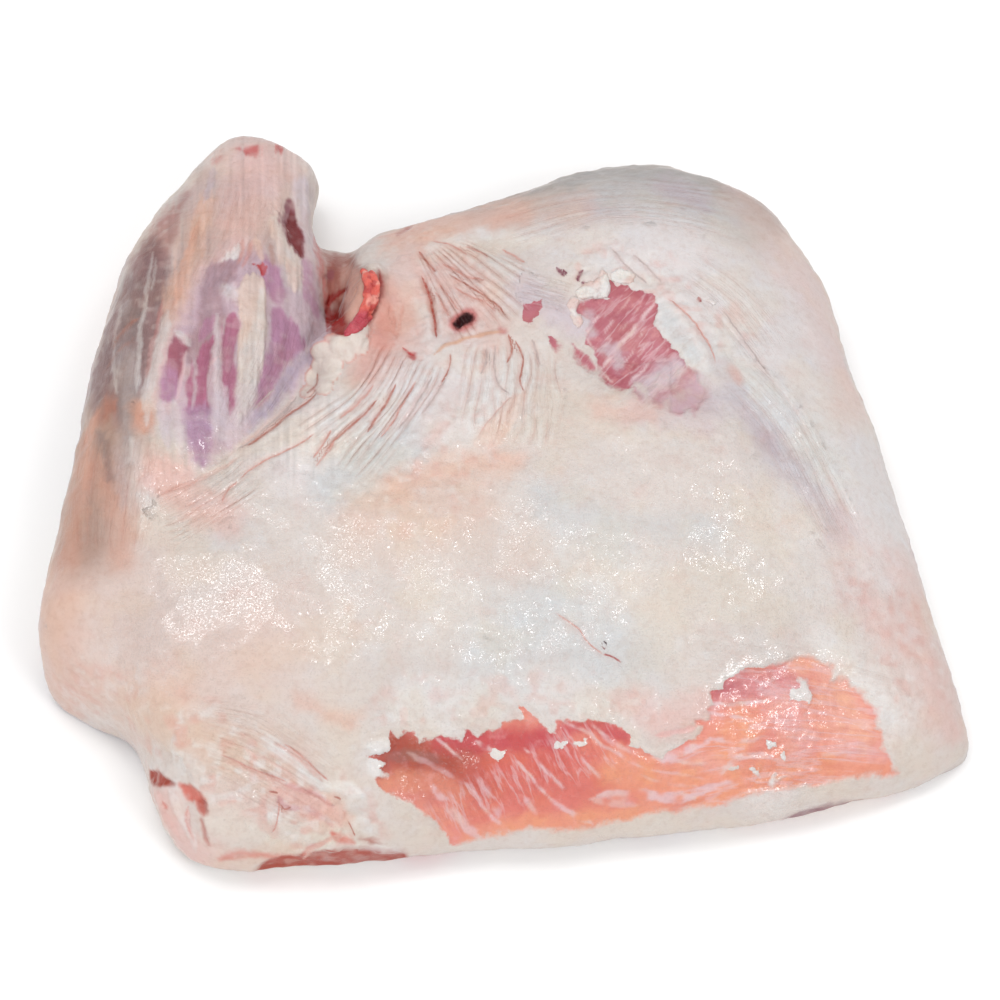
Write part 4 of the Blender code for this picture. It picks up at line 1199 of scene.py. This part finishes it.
def clouded(tint, skin, clouds, falloff, wander_px):
    """Blends broad soft colours into the tint."""
    for colour, strength, reach, path in clouds:
        chosen, share = skin.around(path, reach, falloff, wander_px)
        blended(tint, chosen, colour, strength * share * skin.facing[chosen])


def fat_tint(skin):
    """Colour of the fat and sinew at each vertex, with painted shade along the cracks and painted highlight
    on the ridges beside them.
    """
    tint = even_tint(FAT, len(skin.points))
    for colour, size, seed in HIDDEN_MOTTLES:
        patchy = unevenness(skin.points, size * MM, seed) + 0.3 * unevenness(skin.points, 6 * MM, seed + 1)
        blended(tint, EVERYONE, colour, 0.6 * soft_step(patchy, 0.0, 1.0) * (1 - skin.facing))
    clouded(tint, skin, CLOUDS, 0.9, 3.0)
    rough = roughness(skin)
    pink = soft_step(unevenness(skin.points, 3.2 * MM, 68), 0.1, 0.9)
    white = soft_step(unevenness(skin.points, 2.4 * MM, 69), 0.1, 0.8)
    blended(tint, EVERYONE, SALMON_FAT, 0.45 * rough * pink)
    blended(tint, EVERYONE, SNOW, 0.5 * rough * white)
    for colour, strength, softness, _, outline in PATCHES:
        chosen, depth = patch_depth(skin, outline, softness)
        cover = soft_step(depth, -softness, softness)
        if strength < 1:
            cover *= 1 - 0.25 * soft_step(unevenness(skin.points[chosen], 2.6 * MM, 87), 0.0, 0.9)
        blended(tint, chosen, colour, strength * cover * skin.facing[chosen])
    for colour, strength, width_start, width_end, _, path in STRIPS:
        chosen, cover, _ = strip_cover(skin, width_start, width_end, path)
        blended(tint, chosen, colour, strength * cover * skin.facing[chosen])
    tint *= 1 + 0.07 * skin.fray[:, None]
    # Painted shade in pink along each crack, and painted highlight in white on the ridges either side of it
    for _, _, depth, path in CRACKS:
        chosen, distance, passed = skin.near(path, CRACK_SHADE_REACH, wander_px=0.8)
        gap = distance * MM_PER_PX
        taper = past_ends(passed, 0, 0.2) * skin.facing[chosen] * min(depth, 1)
        blended(tint, chosen, CRACK_PINK, 0.55 * taper * np.exp(-((gap - 0.4) ** 2)))
        blended(tint, chosen, SNOW, 0.30 * taper * np.exp(-(((np.abs(gap) - 2.1) / 0.9) ** 2)))
    height = lobe_height(skin)
    blended(tint, EVERYONE, SALMON_FAT, 0.7 * soft_step(height, 0.0, 0.2))
    blended(tint, EVERYONE, CREAM, 0.9 * soft_step(height, 0.3, 0.9))
    return tint


def lean_tint(skin):
    """Colour of the lean at each vertex."""
    tint = even_tint(SALMON, len(skin.points))
    blended(tint, EVERYONE, UPPER_LEAN, 0.7 * (1 - skin.facing))
    clouded(tint, skin, LEAN_CLOUDS, 0.8, 2.0)
    for strength, width_start, width_end, path in STREAKS:
        chosen, cover, _ = strip_cover(skin, width_start, width_end, path)
        cover = cover * streak_strength(skin.points[chosen]) * skin.facing[chosen]
        blended(tint, chosen, STREAK, strength * cover)
    return tint


def streak_strength(points):
    """Pale streaks come and go along their way."""
    return soft_step(unevenness(points, 3 * MM, 63), -1.1, 0.2)


def edge_fade(skin):
    """How many millimetres the lean takes to give way to fat at each vertex."""
    return np.maximum(0.16 + 1.2 * (1 - skin.facing), skin.strongest(FADES, 0.7))


def wetness(skin):
    """How wet each vertex is, from 0 to 1."""
    return skin.strongest(WET_AREAS, 0.8, wander_px=4.0)


def crack_fields(skin):
    """Signed distance to the nearest crack, its half width, the plain distance, and its colour."""
    fields = np.zeros((len(skin.points), 3))
    fields[:, [0, 2]] = 9.0
    tone = even_tint(CRACK_PINK, len(skin.points))
    for colour, half_width, _, path in CRACKS:
        chosen, distance, passed = skin.near(path, CRACK_REACH, wander_px=0.5)
        distance = distance * MM_PER_PX
        closer = np.abs(distance) < fields[chosen, 2]
        kept = chosen[closer]
        taper = past_ends(passed[closer], -0.02, 0.2)
        fields[kept, 0] = distance[closer]
        fields[kept, 2] = np.abs(distance[closer])
        fields[kept, 1] = half_width * taper * skin.facing[kept]
        tone[kept] = linear(colour)
    return fields, tone


def add_colours(mesh, name, colours):
    """Stores a colour for each vertex under a name."""
    rows = np.ones((len(colours), 4))
    rows[:, :3] = colours
    layer = mesh.attributes.new(name, "FLOAT_COLOR", "POINT")
    layer.data.foreach_set("color", rows.ravel())


def add_fields(mesh, name, *fields):
    """Stores up to three numbers for each vertex under a name."""
    rows = np.zeros((len(mesh.vertices), 3))
    rows[:, :len(fields)] = np.stack(fields, 1)
    layer = mesh.attributes.new(name, "FLOAT_VECTOR", "POINT")
    layer.data.foreach_set("vector", rows.ravel())


def painted(piece):
    """Gives the skin the colours and fields that its finish reads."""
    skin = Skin(piece.data)
    cracks, crack_tone = crack_fields(skin)
    fields, grained = grain_fields(skin)
    add_colours(piece.data, "fat_tint", fat_tint(skin))
    add_colours(piece.data, "lean_tint", lean_tint(skin))
    add_colours(piece.data, "crack_tint", crack_tone)
    add_fields(piece.data, "marks", lean_depth(skin), grained, fields[:, 4])
    add_fields(piece.data, "grain", *fields[:, :3].T)
    add_fields(piece.data, "crack", *cracks.T)
    add_fields(piece.data, "edges", edge_fade(skin), wetness(skin))


def shoulder_skin(solid):
    """The whole surface of the shoulder and shank as one finely modelled piece."""
    piece = fine_copy("shoulder_skin", solid)
    sculpted(piece)
    lightened(piece)
    painted(piece)
    piece.data.shade_smooth()
    piece.data.materials.clear()
    piece.data.materials.append(skin_finish())
    return piece


# Pieces that lie on the skin

class Seat:
    """Finds where a pixel of the photograph falls on a piece."""

    def __init__(self, piece):
        self.tree = BVHTree.FromObject(piece, bpy.context.evaluated_depsgraph_get())

    def under(self, pixel):
        """Point of the surface under a pixel, and the way that a piece on it stands up."""
        ray = -BACK * FOCAL_PX + RIGHT * (pixel[0] - PHOTO_MIDDLE) - UP * (pixel[1] - PHOTO_MIDDLE)
        ray = ray / np.linalg.norm(ray)
        point, normal, _, _ = self.tree.ray_cast(Vector(EYE), Vector(ray))
        upward = np.array(normal) * 1.2 - ray
        return np.array(point), upward / np.linalg.norm(upward)


def slab(bm, seat, thickness_mm, outline, seed):
    """Adds a closed plate with a rounded, uneven top that lies on the surface under its outline."""
    ring = smooth_ring(outline)
    flat = np.concatenate([ring, np.full((len(ring), 1), seed)], 1)
    ring = ring + 1.0 * np.stack([unevenness(flat, 4.0, 91), unevenness(flat, 4.0, 92)], 1)
    ring = ring + 0.8 * np.stack([unevenness(flat, 1.6, 96), unevenness(flat, 1.6, 98)], 1)
    low, high = ring.min(axis=0), ring.max(axis=0)
    columns = np.arange(low[0], high[0], FLAKE_SPACING)
    across, down = np.meshgrid(columns, np.arange(low[1], high[1], FLAKE_SPACING))
    grid = np.stack([across.ravel(), down.ravel()], 1)
    grid = grid[outline_depth(grid, ring) > 0.8]
    places = np.concatenate([ring, grid])
    border = [list(range(len(ring)))]
    spots, _, triangles, *_ = delaunay_2d_cdt([Vector(place) for place in places], [], border, 1, 1e-4)
    spots = np.array([list(spot) for spot in spots])
    depth = outline_depth(spots, ring) * MM_PER_PX
    crown = np.sqrt(np.clip(1 - (1 - np.clip(depth / (0.9 * thickness_mm), 0, 1)) ** 2, 0, 1))
    uneven = unevenness(np.concatenate([spots, np.full((len(spots), 1), seed)], 1), 3.5, 93)
    height = thickness_mm * (0.12 + 0.45 * crown) * (1 + 0.4 * uneven)
    tops = []
    feet = []
    for spot, rise in zip(spots, height):
        point, upward = seat.under(spot)
        tops.append(bm.verts.new(point + upward * rise * MM))
        feet.append(bm.verts.new(point - upward * FLAKE_ROOT))
    edges = {}
    for a, b, c in triangles:
        bm.faces.new((tops[a], tops[b], tops[c]))
        bm.faces.new((feet[c], feet[b], feet[a]))
        for pair in ((a, b), (b, c), (c, a)):
            edges[pair] = edges.get(pair[::-1], 0) + 1
            if pair[::-1] in edges:
                edges.pop(pair)
                edges.pop(pair[::-1])
    for a, b in edges:
        bm.faces.new((tops[b], tops[a], feet[a], feet[b]))


def strand(bm, seat, half_start, half_end, lift_mm, path):
    """Adds a run of small overlapping lumps that follows a path."""
    curve = smooth_path(path)
    for number, place in enumerate(curve):
        share = number / (len(curve) - 1)
        half = (half_start + (half_end - half_start) * share) * (0.6 + 0.4 * math.sin(math.pi * share) ** 0.4)
        point, upward = seat.under(place)
        made = bmesh.ops.create_icosphere(bm, subdivisions=2, radius=half * MM_PER_PX * MM)["verts"]
        offset = Vector(point + upward * lift_mm * MM)
        for vertex in made:
            vertex.co += offset


def melted(piece, lump_mm, seed):
    """Melts overlapping lumps into one skin and roughens it."""
    remeshed(piece, TORN_VOXEL, TORN_SOFTENING)
    skin = Skin(piece.data)
    rise = layered(skin.points, ((lump_mm, 2.2, seed), (0.5 * lump_mm, 1, seed + 1)))
    piece.data.vertices.foreach_set("co", (skin.points + skin.normals * (rise * MM)[:, None]).ravel())


def mesh_from(name, bm):
    """Turns a bmesh into a mesh."""
    mesh = bpy.data.meshes.new(name)
    bm.to_mesh(mesh)
    bm.free()
    return mesh


def piece_from(name, bm, finish, tint, lump_mm=0.0, seed=0):
    """Turns a bmesh into a smooth piece whose vertices carry the tint worked out from their points."""
    bmesh.ops.recalc_face_normals(bm, faces=bm.faces)
    piece = placed(name, mesh_from(name, bm))
    if lump_mm:
        melted(piece, lump_mm, seed)
    mesh = piece.data
    points = np.array([list(vertex.co) for vertex in mesh.vertices])
    add_colours(mesh, "tint", tint(points))
    mesh.shade_smooth()
    mesh.materials.append(finish)
    return piece


def flake_tint(points):
    """White fat with pink patches."""
    tint = even_tint(SNOW, len(points))
    pink = soft_step(unevenness(points, 4 * MM, 64), -0.2, 0.7)
    blended(tint, EVERYONE, PINK_FAT, 0.6 * pink)
    return tint


def flap_tint(points):
    """Orange red above, turning purple towards the flap's lower end, with pale patches of painted sheen and
    darker red ones of painted shade, laid at random.
    """
    tint = even_tint(FLAP_RED, len(points))
    # Pale patches painted as sheen, darker red patches painted as shade
    blended(tint, EVERYONE, FLAP_PALE_SHEEN, 0.8 * soft_step(unevenness(points, 2.2 * MM, 66), -0.1, 0.7))
    blended(tint, EVERYONE, RED_SPOT, 0.8 * soft_step(unevenness(points, 1.6 * MM, 67), 0.1, 0.7))
    place = points[:, 1]
    purple = soft_step(-place, -np.quantile(place, 0.40), -np.quantile(place, 0.30))
    blended(tint, EVERYONE, FLAP_PURPLE, 0.9 * purple)
    return tint


def torn_pieces(skin):
    """Flakes of fat, and the flap of muscle in the hollow."""
    seat = Seat(skin)
    flakes = bmesh.new()
    for number, (thickness, outline) in enumerate(FLAKES):
        slab(flakes, seat, thickness, outline, number)
    flap = bmesh.new()
    for row in FLAP_STRANDS:
        strand(flap, seat, *row)
    return (
        piece_from("fat_flakes", flakes, moist_finish("torn_fat", 0.34), flake_tint),
        piece_from("torn_flap", flap, moist_finish("torn_muscle", 0.24), flap_tint, 0.26, 99),
    )


# Finishes

class Value:
    """A shader socket that takes part in Python sums."""

    def __init__(self, finish, socket):
        self.finish = finish
        self.socket = socket

    def sum_with(self, operation, first, second):
        return self.finish.node("Math", {"operation": operation}, {0: first, 1: second})

    def __add__(self, other):
        return self.sum_with("ADD", self, other)

    __radd__ = __add__

    def __sub__(self, other):
        return self.sum_with("SUBTRACT", self, other)

    def __rsub__(self, other):
        return self.sum_with("SUBTRACT", other, self)

    def __mul__(self, other):
        return self.sum_with("MULTIPLY", self, other)

    def __abs__(self):
        return self.sum_with("ABSOLUTE", self, 0.0)


class Finish:
    """A material with one Principled shader, built from expressions."""

    def __init__(self, name):
        self.material = bpy.data.materials.new(name)
        self.material.use_nodes = True
        self.tree = self.material.node_tree
        self.shader = self.tree.nodes["Principled BSDF"]

    def node(self, kind, settings=None, sockets=None, output=0):
        """Adds a node, sets it, feeds its sockets and gives back one of its outputs."""
        made = self.tree.nodes.new("ShaderNode" + kind)
        for name, setting in (settings or {}).items():
            setattr(made, name, setting)
        for name, value in (sockets or {}).items():
            self.plug(value, made.inputs[name])
        return Value(self, made.outputs[output])

    def plug(self, value, socket):
        """Links a value to a socket, or sets the socket to a constant."""
        if isinstance(value, Value):
            self.tree.links.new(value.socket, socket)
        else:
            socket.default_value = value

    def place(self):
        return self.node("TexCoord", output="Object")

    def attribute(self, name, output="Color"):
        return self.node("Attribute", {"attribute_name": name}, output=output)

    def parts(self, vector):
        split = self.node("SeparateXYZ", sockets={0: vector})
        return [Value(self, socket) for socket in split.socket.node.outputs]

    def vector(self, x, y, z=0.0):
        return self.node("CombineXYZ", sockets={0: x, 1: y, 2: z})

    def noise(self, vector, size, detail=3.0, roughness=0.55):
        """Smooth random values about 0.5 whose bumps are about as wide as size."""
        sockets = {"Vector": vector, "Scale": 1 / size, "Detail": detail, "Roughness": roughness}
        return self.node("TexNoise", sockets=sockets)

    def step(self, value, low, high):
        """0 below low, 1 above high, with a smooth rise between."""
        limits = {"Value": value, "From Min": low, "From Max": high}
        return self.node("MapRange", {"interpolation_type": "SMOOTHSTEP"}, limits)

    def mix(self, share, first, second, blend="MIX"):
        settings = {"data_type": "RGBA", "blend_type": blend}
        return self.node("Mix", settings, {0: share, 6: first, 7: second}, output=2)

    def feed(self, **values):
        """Feeds the shader's sockets, whose names have underscores for spaces."""
        for name, value in values.items():
            self.plug(value, self.shader.inputs[name.replace("_", " ")])

    def dyed(self, colour, red, green, blue):
        """A colour whose red, green and blue are multiplied."""
        return self.mix(1.0, colour, shade(red, green, blue), "MULTIPLY")

    def layer(self, base, value, low, high, strength, colour):
        """The base with a colour laid over it where the value is past low, fully from high on."""
        return self.mix(self.step(value, low, high) * strength, base, colour)

    def thin_line(self, noise, half_width):
        """1 where the noise crosses its middle, 0 beside that line."""
        return 1 - self.step(abs(noise - 0.5), 0.0, half_width)

    def bump(self, height_mm):
        return self.node("Bump", sockets={"Height": height_mm, "Distance": MM, "Strength": 1.0})


def shade(red, green, blue):
    return (red, green, blue, 1.0)


def paint(colour):
    return (*linear(colour), 1.0)


def fat_layers(finish, place, tint, blotch, crumb):
    """Mottled fat: rosy and milky blotches, duller crumbs and faint veins."""
    rosy = finish.dyed(tint, 1.0, 0.88, 0.86)
    milky = finish.dyed(tint, 1.02, 1.08, 1.13)
    fat = finish.layer(tint, blotch, 0.50, 0.78, 0.55, rosy)
    fat = finish.layer(fat, blotch, 0.48, 0.25, 0.6, milky)
    buttery = finish.dyed(fat, 1.02, 0.98, 0.90)
    fat = finish.layer(fat, finish.noise(place, 24 * MM, 3), 0.46, 0.62, 0.6, buttery)
    dull = finish.dyed(fat, 0.86, 0.79, 0.76)
    fat = finish.layer(fat, crumb, 0.54, 0.30, 0.5, dull)
    vein = finish.thin_line(finish.noise(place, 11 * MM, 5, 0.6), 0.03)
    return finish.mix(vein * finish.step(crumb, 0.40, 0.60) * 0.28, fat, dull)


def moist_finish(name, roughness):
    """Fat or muscle of a torn piece, in the piece's own tint."""
    finish = Finish(name)
    place = finish.place()
    crumb = finish.noise(place, 1.6 * MM, 5, 0.6)
    strand = finish.noise(place, 4 * MM, 4, 0.6)
    colour = fat_layers(finish, place, finish.attribute("tint"), strand, crumb)
    finish.feed(
        Base_Color=colour,
        Roughness=roughness - (crumb - 0.5) * 0.2,
        Normal=finish.bump(crumb * 0.5 + strand * 0.5),
        Specular_IOR_Level=0.4,
        Subsurface_Weight=0.05,
        Subsurface_Radius=(1.0, 0.45, 0.3),
        Subsurface_Scale=2 * MM,
    )
    return finish.material


def lean_layers(finish, place, lean, blotch, crumb, fibre, thread):
    """Lean: amber and dark mottles, dark fibres and pale threads along the grain."""
    dark = finish.dyed(lean, 0.84, 0.66, 0.64)
    amber = finish.dyed(lean, 1.02, 1.10, 0.88)
    lean = finish.layer(lean, blotch, 0.42, 0.62, 0.6, amber)
    lean = finish.layer(lean, crumb, 0.56, 0.34, 0.30, dark)
    lean = finish.layer(lean, fibre, 0.56, 0.36, 0.45, dark)
    lean = finish.layer(lean, fibre, 0.54, 0.72, 0.40, paint(STREAK))
    lean = finish.mix(thread * 0.40, lean, paint(STREAK))
    return finish.layer(lean, finish.noise(place, 5 * MM, 5, 0.6), 0.54, 0.72, 0.3, paint(PINK_LEAN))


def skin_finish():
    """Moist fat with lean windows, grain and cracks."""
    finish = Finish("lamb_skin")
    place = finish.place()
    lean_mm, grained, fibre_count = finish.parts(finish.attribute("marks", "Vector"))
    fold_count, along, fold_share = finish.parts(finish.attribute("grain", "Vector"))
    crack_mm, crack_half, crack_far = finish.parts(finish.attribute("crack", "Vector"))
    fade, wet, _ = finish.parts(finish.attribute("edges", "Vector"))

    blotch = finish.noise(place, 9 * MM, 4)
    crumb = finish.noise(place, 2.4 * MM, 5, 0.65)
    speck = finish.noise(place, 0.8 * MM, 3, 0.6)
    glint = finish.noise(place, 0.6 * MM, 2, 0.5)

    from_crease = finish.node("Math", {"operation": "PINGPONG"}, {0: fold_count, 1: 0.5})
    crease = (1 - finish.step(from_crease + (speck - 0.5) * 0.08, 0.0, 0.12)) * fold_share
    hollow = (1 - finish.step(from_crease, 0.0, 0.42)) * fold_share
    fibre = finish.noise(finish.vector(fibre_count * 1.3, along * 0.5, 5.0), 1.0, 5, 0.65)
    fibre = (fibre - 0.5) * grained + 0.5
    line_noise = finish.noise(finish.vector(fibre_count * 0.7, along * 0.35, 2.0), 1.0, 3, 0.5)
    line = finish.thin_line(line_noise, 0.06) * grained
    thread_noise = finish.noise(finish.vector(fibre_count * 0.35, along * 0.16, 9.0), 1.0, 4, 0.55)
    thread = finish.thin_line(thread_noise, 0.04) * grained
    silk = finish.noise(finish.vector(fibre_count * 0.5, along * 0.12, 3.0), 1.0, 4, 0.6)

    fat = fat_layers(finish, place, finish.attribute("fat_tint"), blotch, crumb)
    dull = finish.dyed(fat, 0.90, 0.82, 0.79)
    # A duller and a paler copy of the fat for the fibres; the paler one is also the painted highlight on the
    # fold ridges
    sheen = finish.dyed(fat, 1.05, 1.12, 1.15)
    fat = finish.mix(finish.step(silk, 0.50, 0.30) * grained * 0.5, fat, dull)
    fat = finish.mix(finish.step(silk, 0.52, 0.74) * grained * 0.5, fat, sheen)
    fat = finish.mix(line * 0.25, fat, dull)
    # Painted shade in the hollows between folds, the creases' reddish colour deepened by painted shade, and
    # painted highlight on the ridges
    hollow_shaded = finish.dyed(fat, 0.98, 0.83, 0.79)
    crease_shaded = finish.dyed(fat, 0.94, 0.66, 0.62)
    fat = finish.mix(hollow * 0.35, fat, hollow_shaded)
    fat = finish.mix(crease * 0.45, fat, crease_shaded)
    fat = finish.mix(finish.step(from_crease, 0.20, 0.42) * fold_share, fat, sheen)
    lean = lean_layers(finish, place, finish.attribute("lean_tint"), blotch, crumb, fibre, thread)

    ragged = (speck - 0.5) * 1.3 + (crumb - 0.5) * 2.2 * finish.step(fade, 0.1, 0.8)
    ragged = ragged + (blotch - 0.5) * 7.0 * finish.step(fade, 1.0, 2.6)
    lean_share = finish.step(lean_mm + ragged, 0 - fade, fade)
    colour = finish.mix(lean_share, fat, lean)
    crack = 1 - finish.step(abs(crack_mm + (speck - 0.5) * 0.4), crack_half * 0.2, crack_half + 0.30)
    crack = crack * finish.step(crack_far, 1.4, 0.9) * finish.step(crack_half, 0.03, 0.15)
    crack = crack * (0.55 + finish.step(crumb, 0.35, 0.6) * 0.4)
    colour = finish.mix(crack, colour, finish.attribute("crack_tint"))

    fat_height = crumb * 0.34 + speck * 0.12 - crease * 0.22 + line * 0.08
    lean_height = fibre * 0.20 + speck * 0.12 + crumb * 0.16 + thread * 0.06
    droplet = finish.step(glint + wet * 0.07, 0.61, 0.66) * finish.step(wet, 0.02, 0.25)
    height = fat_height + (lean_height - fat_height) * lean_share - crack * 0.15 + droplet * 0.04
    finish.feed(
        Base_Color=colour,
        Roughness=0.44 - finish.step(blotch, 0.40, 0.65) * 0.10 - wet * 0.14,
        Coat_Weight=droplet + wet * 0.10,
        Coat_Roughness=0.115,
        Coat_IOR=1.8,
        Normal=finish.bump(height),
        Specular_IOR_Level=0.25,
        Subsurface_Weight=0.03,
        Subsurface_Radius=(1.0, 0.45, 0.3),
        Subsurface_Scale=3 * MM,
    )
    return finish.material


# Studio

FLOOR_SIZE = 4.0
FLOOR_GREY = (0.95, 0.95, 0.95, 1)
LAMP_AIM = (0.0, 0.0, 0.03)

# Lamps that shine at the aim: name, direction from it, distance and size in metres, watts
SOFTBOXES = (
    ("overhead", (0.2, 0.4, 1.0), 1.5, 1.2, 3.4),
    ("front_box", (-0.60, -0.72, 0.34), 2.0, 1.8, 15.0),
    ("elbow_box", (-0.27, 0.17, 0.94), 1.2, 0.50, 3.4),
    ("window_box", (0.48, -0.52, 0.72), 1.2, 0.42, 3.6),
    ("shank_box", (0.39, 0.24, 0.89), 1.2, 0.20, 1.0),
    ("middle_box", (0.06, 0.02, 1.0), 1.2, 0.14, 0.5),
)
ROOM_LIGHT = 0.55


def studio_floor():
    """A plain pale floor under the meat."""
    bm = bmesh.new()
    bmesh.ops.create_grid(bm, x_segments=8, y_segments=8, size=FLOOR_SIZE / 2)
    floor = placed("floor", mesh_from("floor", bm))
    finish = Finish("pale_floor")
    patch = finish.noise(finish.place(), 0.4, 2)
    finish.feed(Base_Color=finish.mix(patch, FLOOR_GREY, shade(0.97, 0.97, 0.97)), Roughness=0.8)
    floor.data.materials.append(finish.material)


def softbox(name, direction, distance, size, watts):
    """A square lamp that shines at the meat from a direction."""
    light = bpy.data.lights.new(name, "AREA")
    light.shape = "SQUARE"
    light.size = size
    light.energy = watts
    lamp = placed(name, light)
    lamp.location = Vector(LAMP_AIM) + Vector(direction).normalized() * distance
    lamp.rotation_euler = Vector(direction).to_track_quat("Z", "Y").to_euler()


def room_light():
    """Even white light from all round."""
    world = bpy.data.worlds.new("room")
    world.use_nodes = True
    background = world.node_tree.nodes["Background"]
    background.inputs["Color"].default_value = (1, 1, 1, 1)
    background.inputs["Strength"].default_value = ROOM_LIGHT
    bpy.context.scene.world = world


def photo_camera():
    """The camera at the photographer's place."""
    data = bpy.data.cameras.new("photo_camera")
    data.lens = LENS_MM
    data.sensor_width = SENSOR_MM
    camera = placed("photo_camera", data)
    camera.location = EYE
    camera.rotation_euler = (math.pi / 2 - ELEVATION, 0, 0)
    bpy.context.scene.camera = camera
    bpy.context.scene.view_settings.view_transform = "Standard"


def main():
    photo_camera()
    studio_floor()
    room_light()
    for box in SOFTBOXES:
        softbox(*box)
    skin = shoulder_skin(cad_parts["lamb_shoulder"])
    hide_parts("lamb_shoulder")
    for piece in (skin, *torn_pieces(skin)):
        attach(piece, "root")


main()
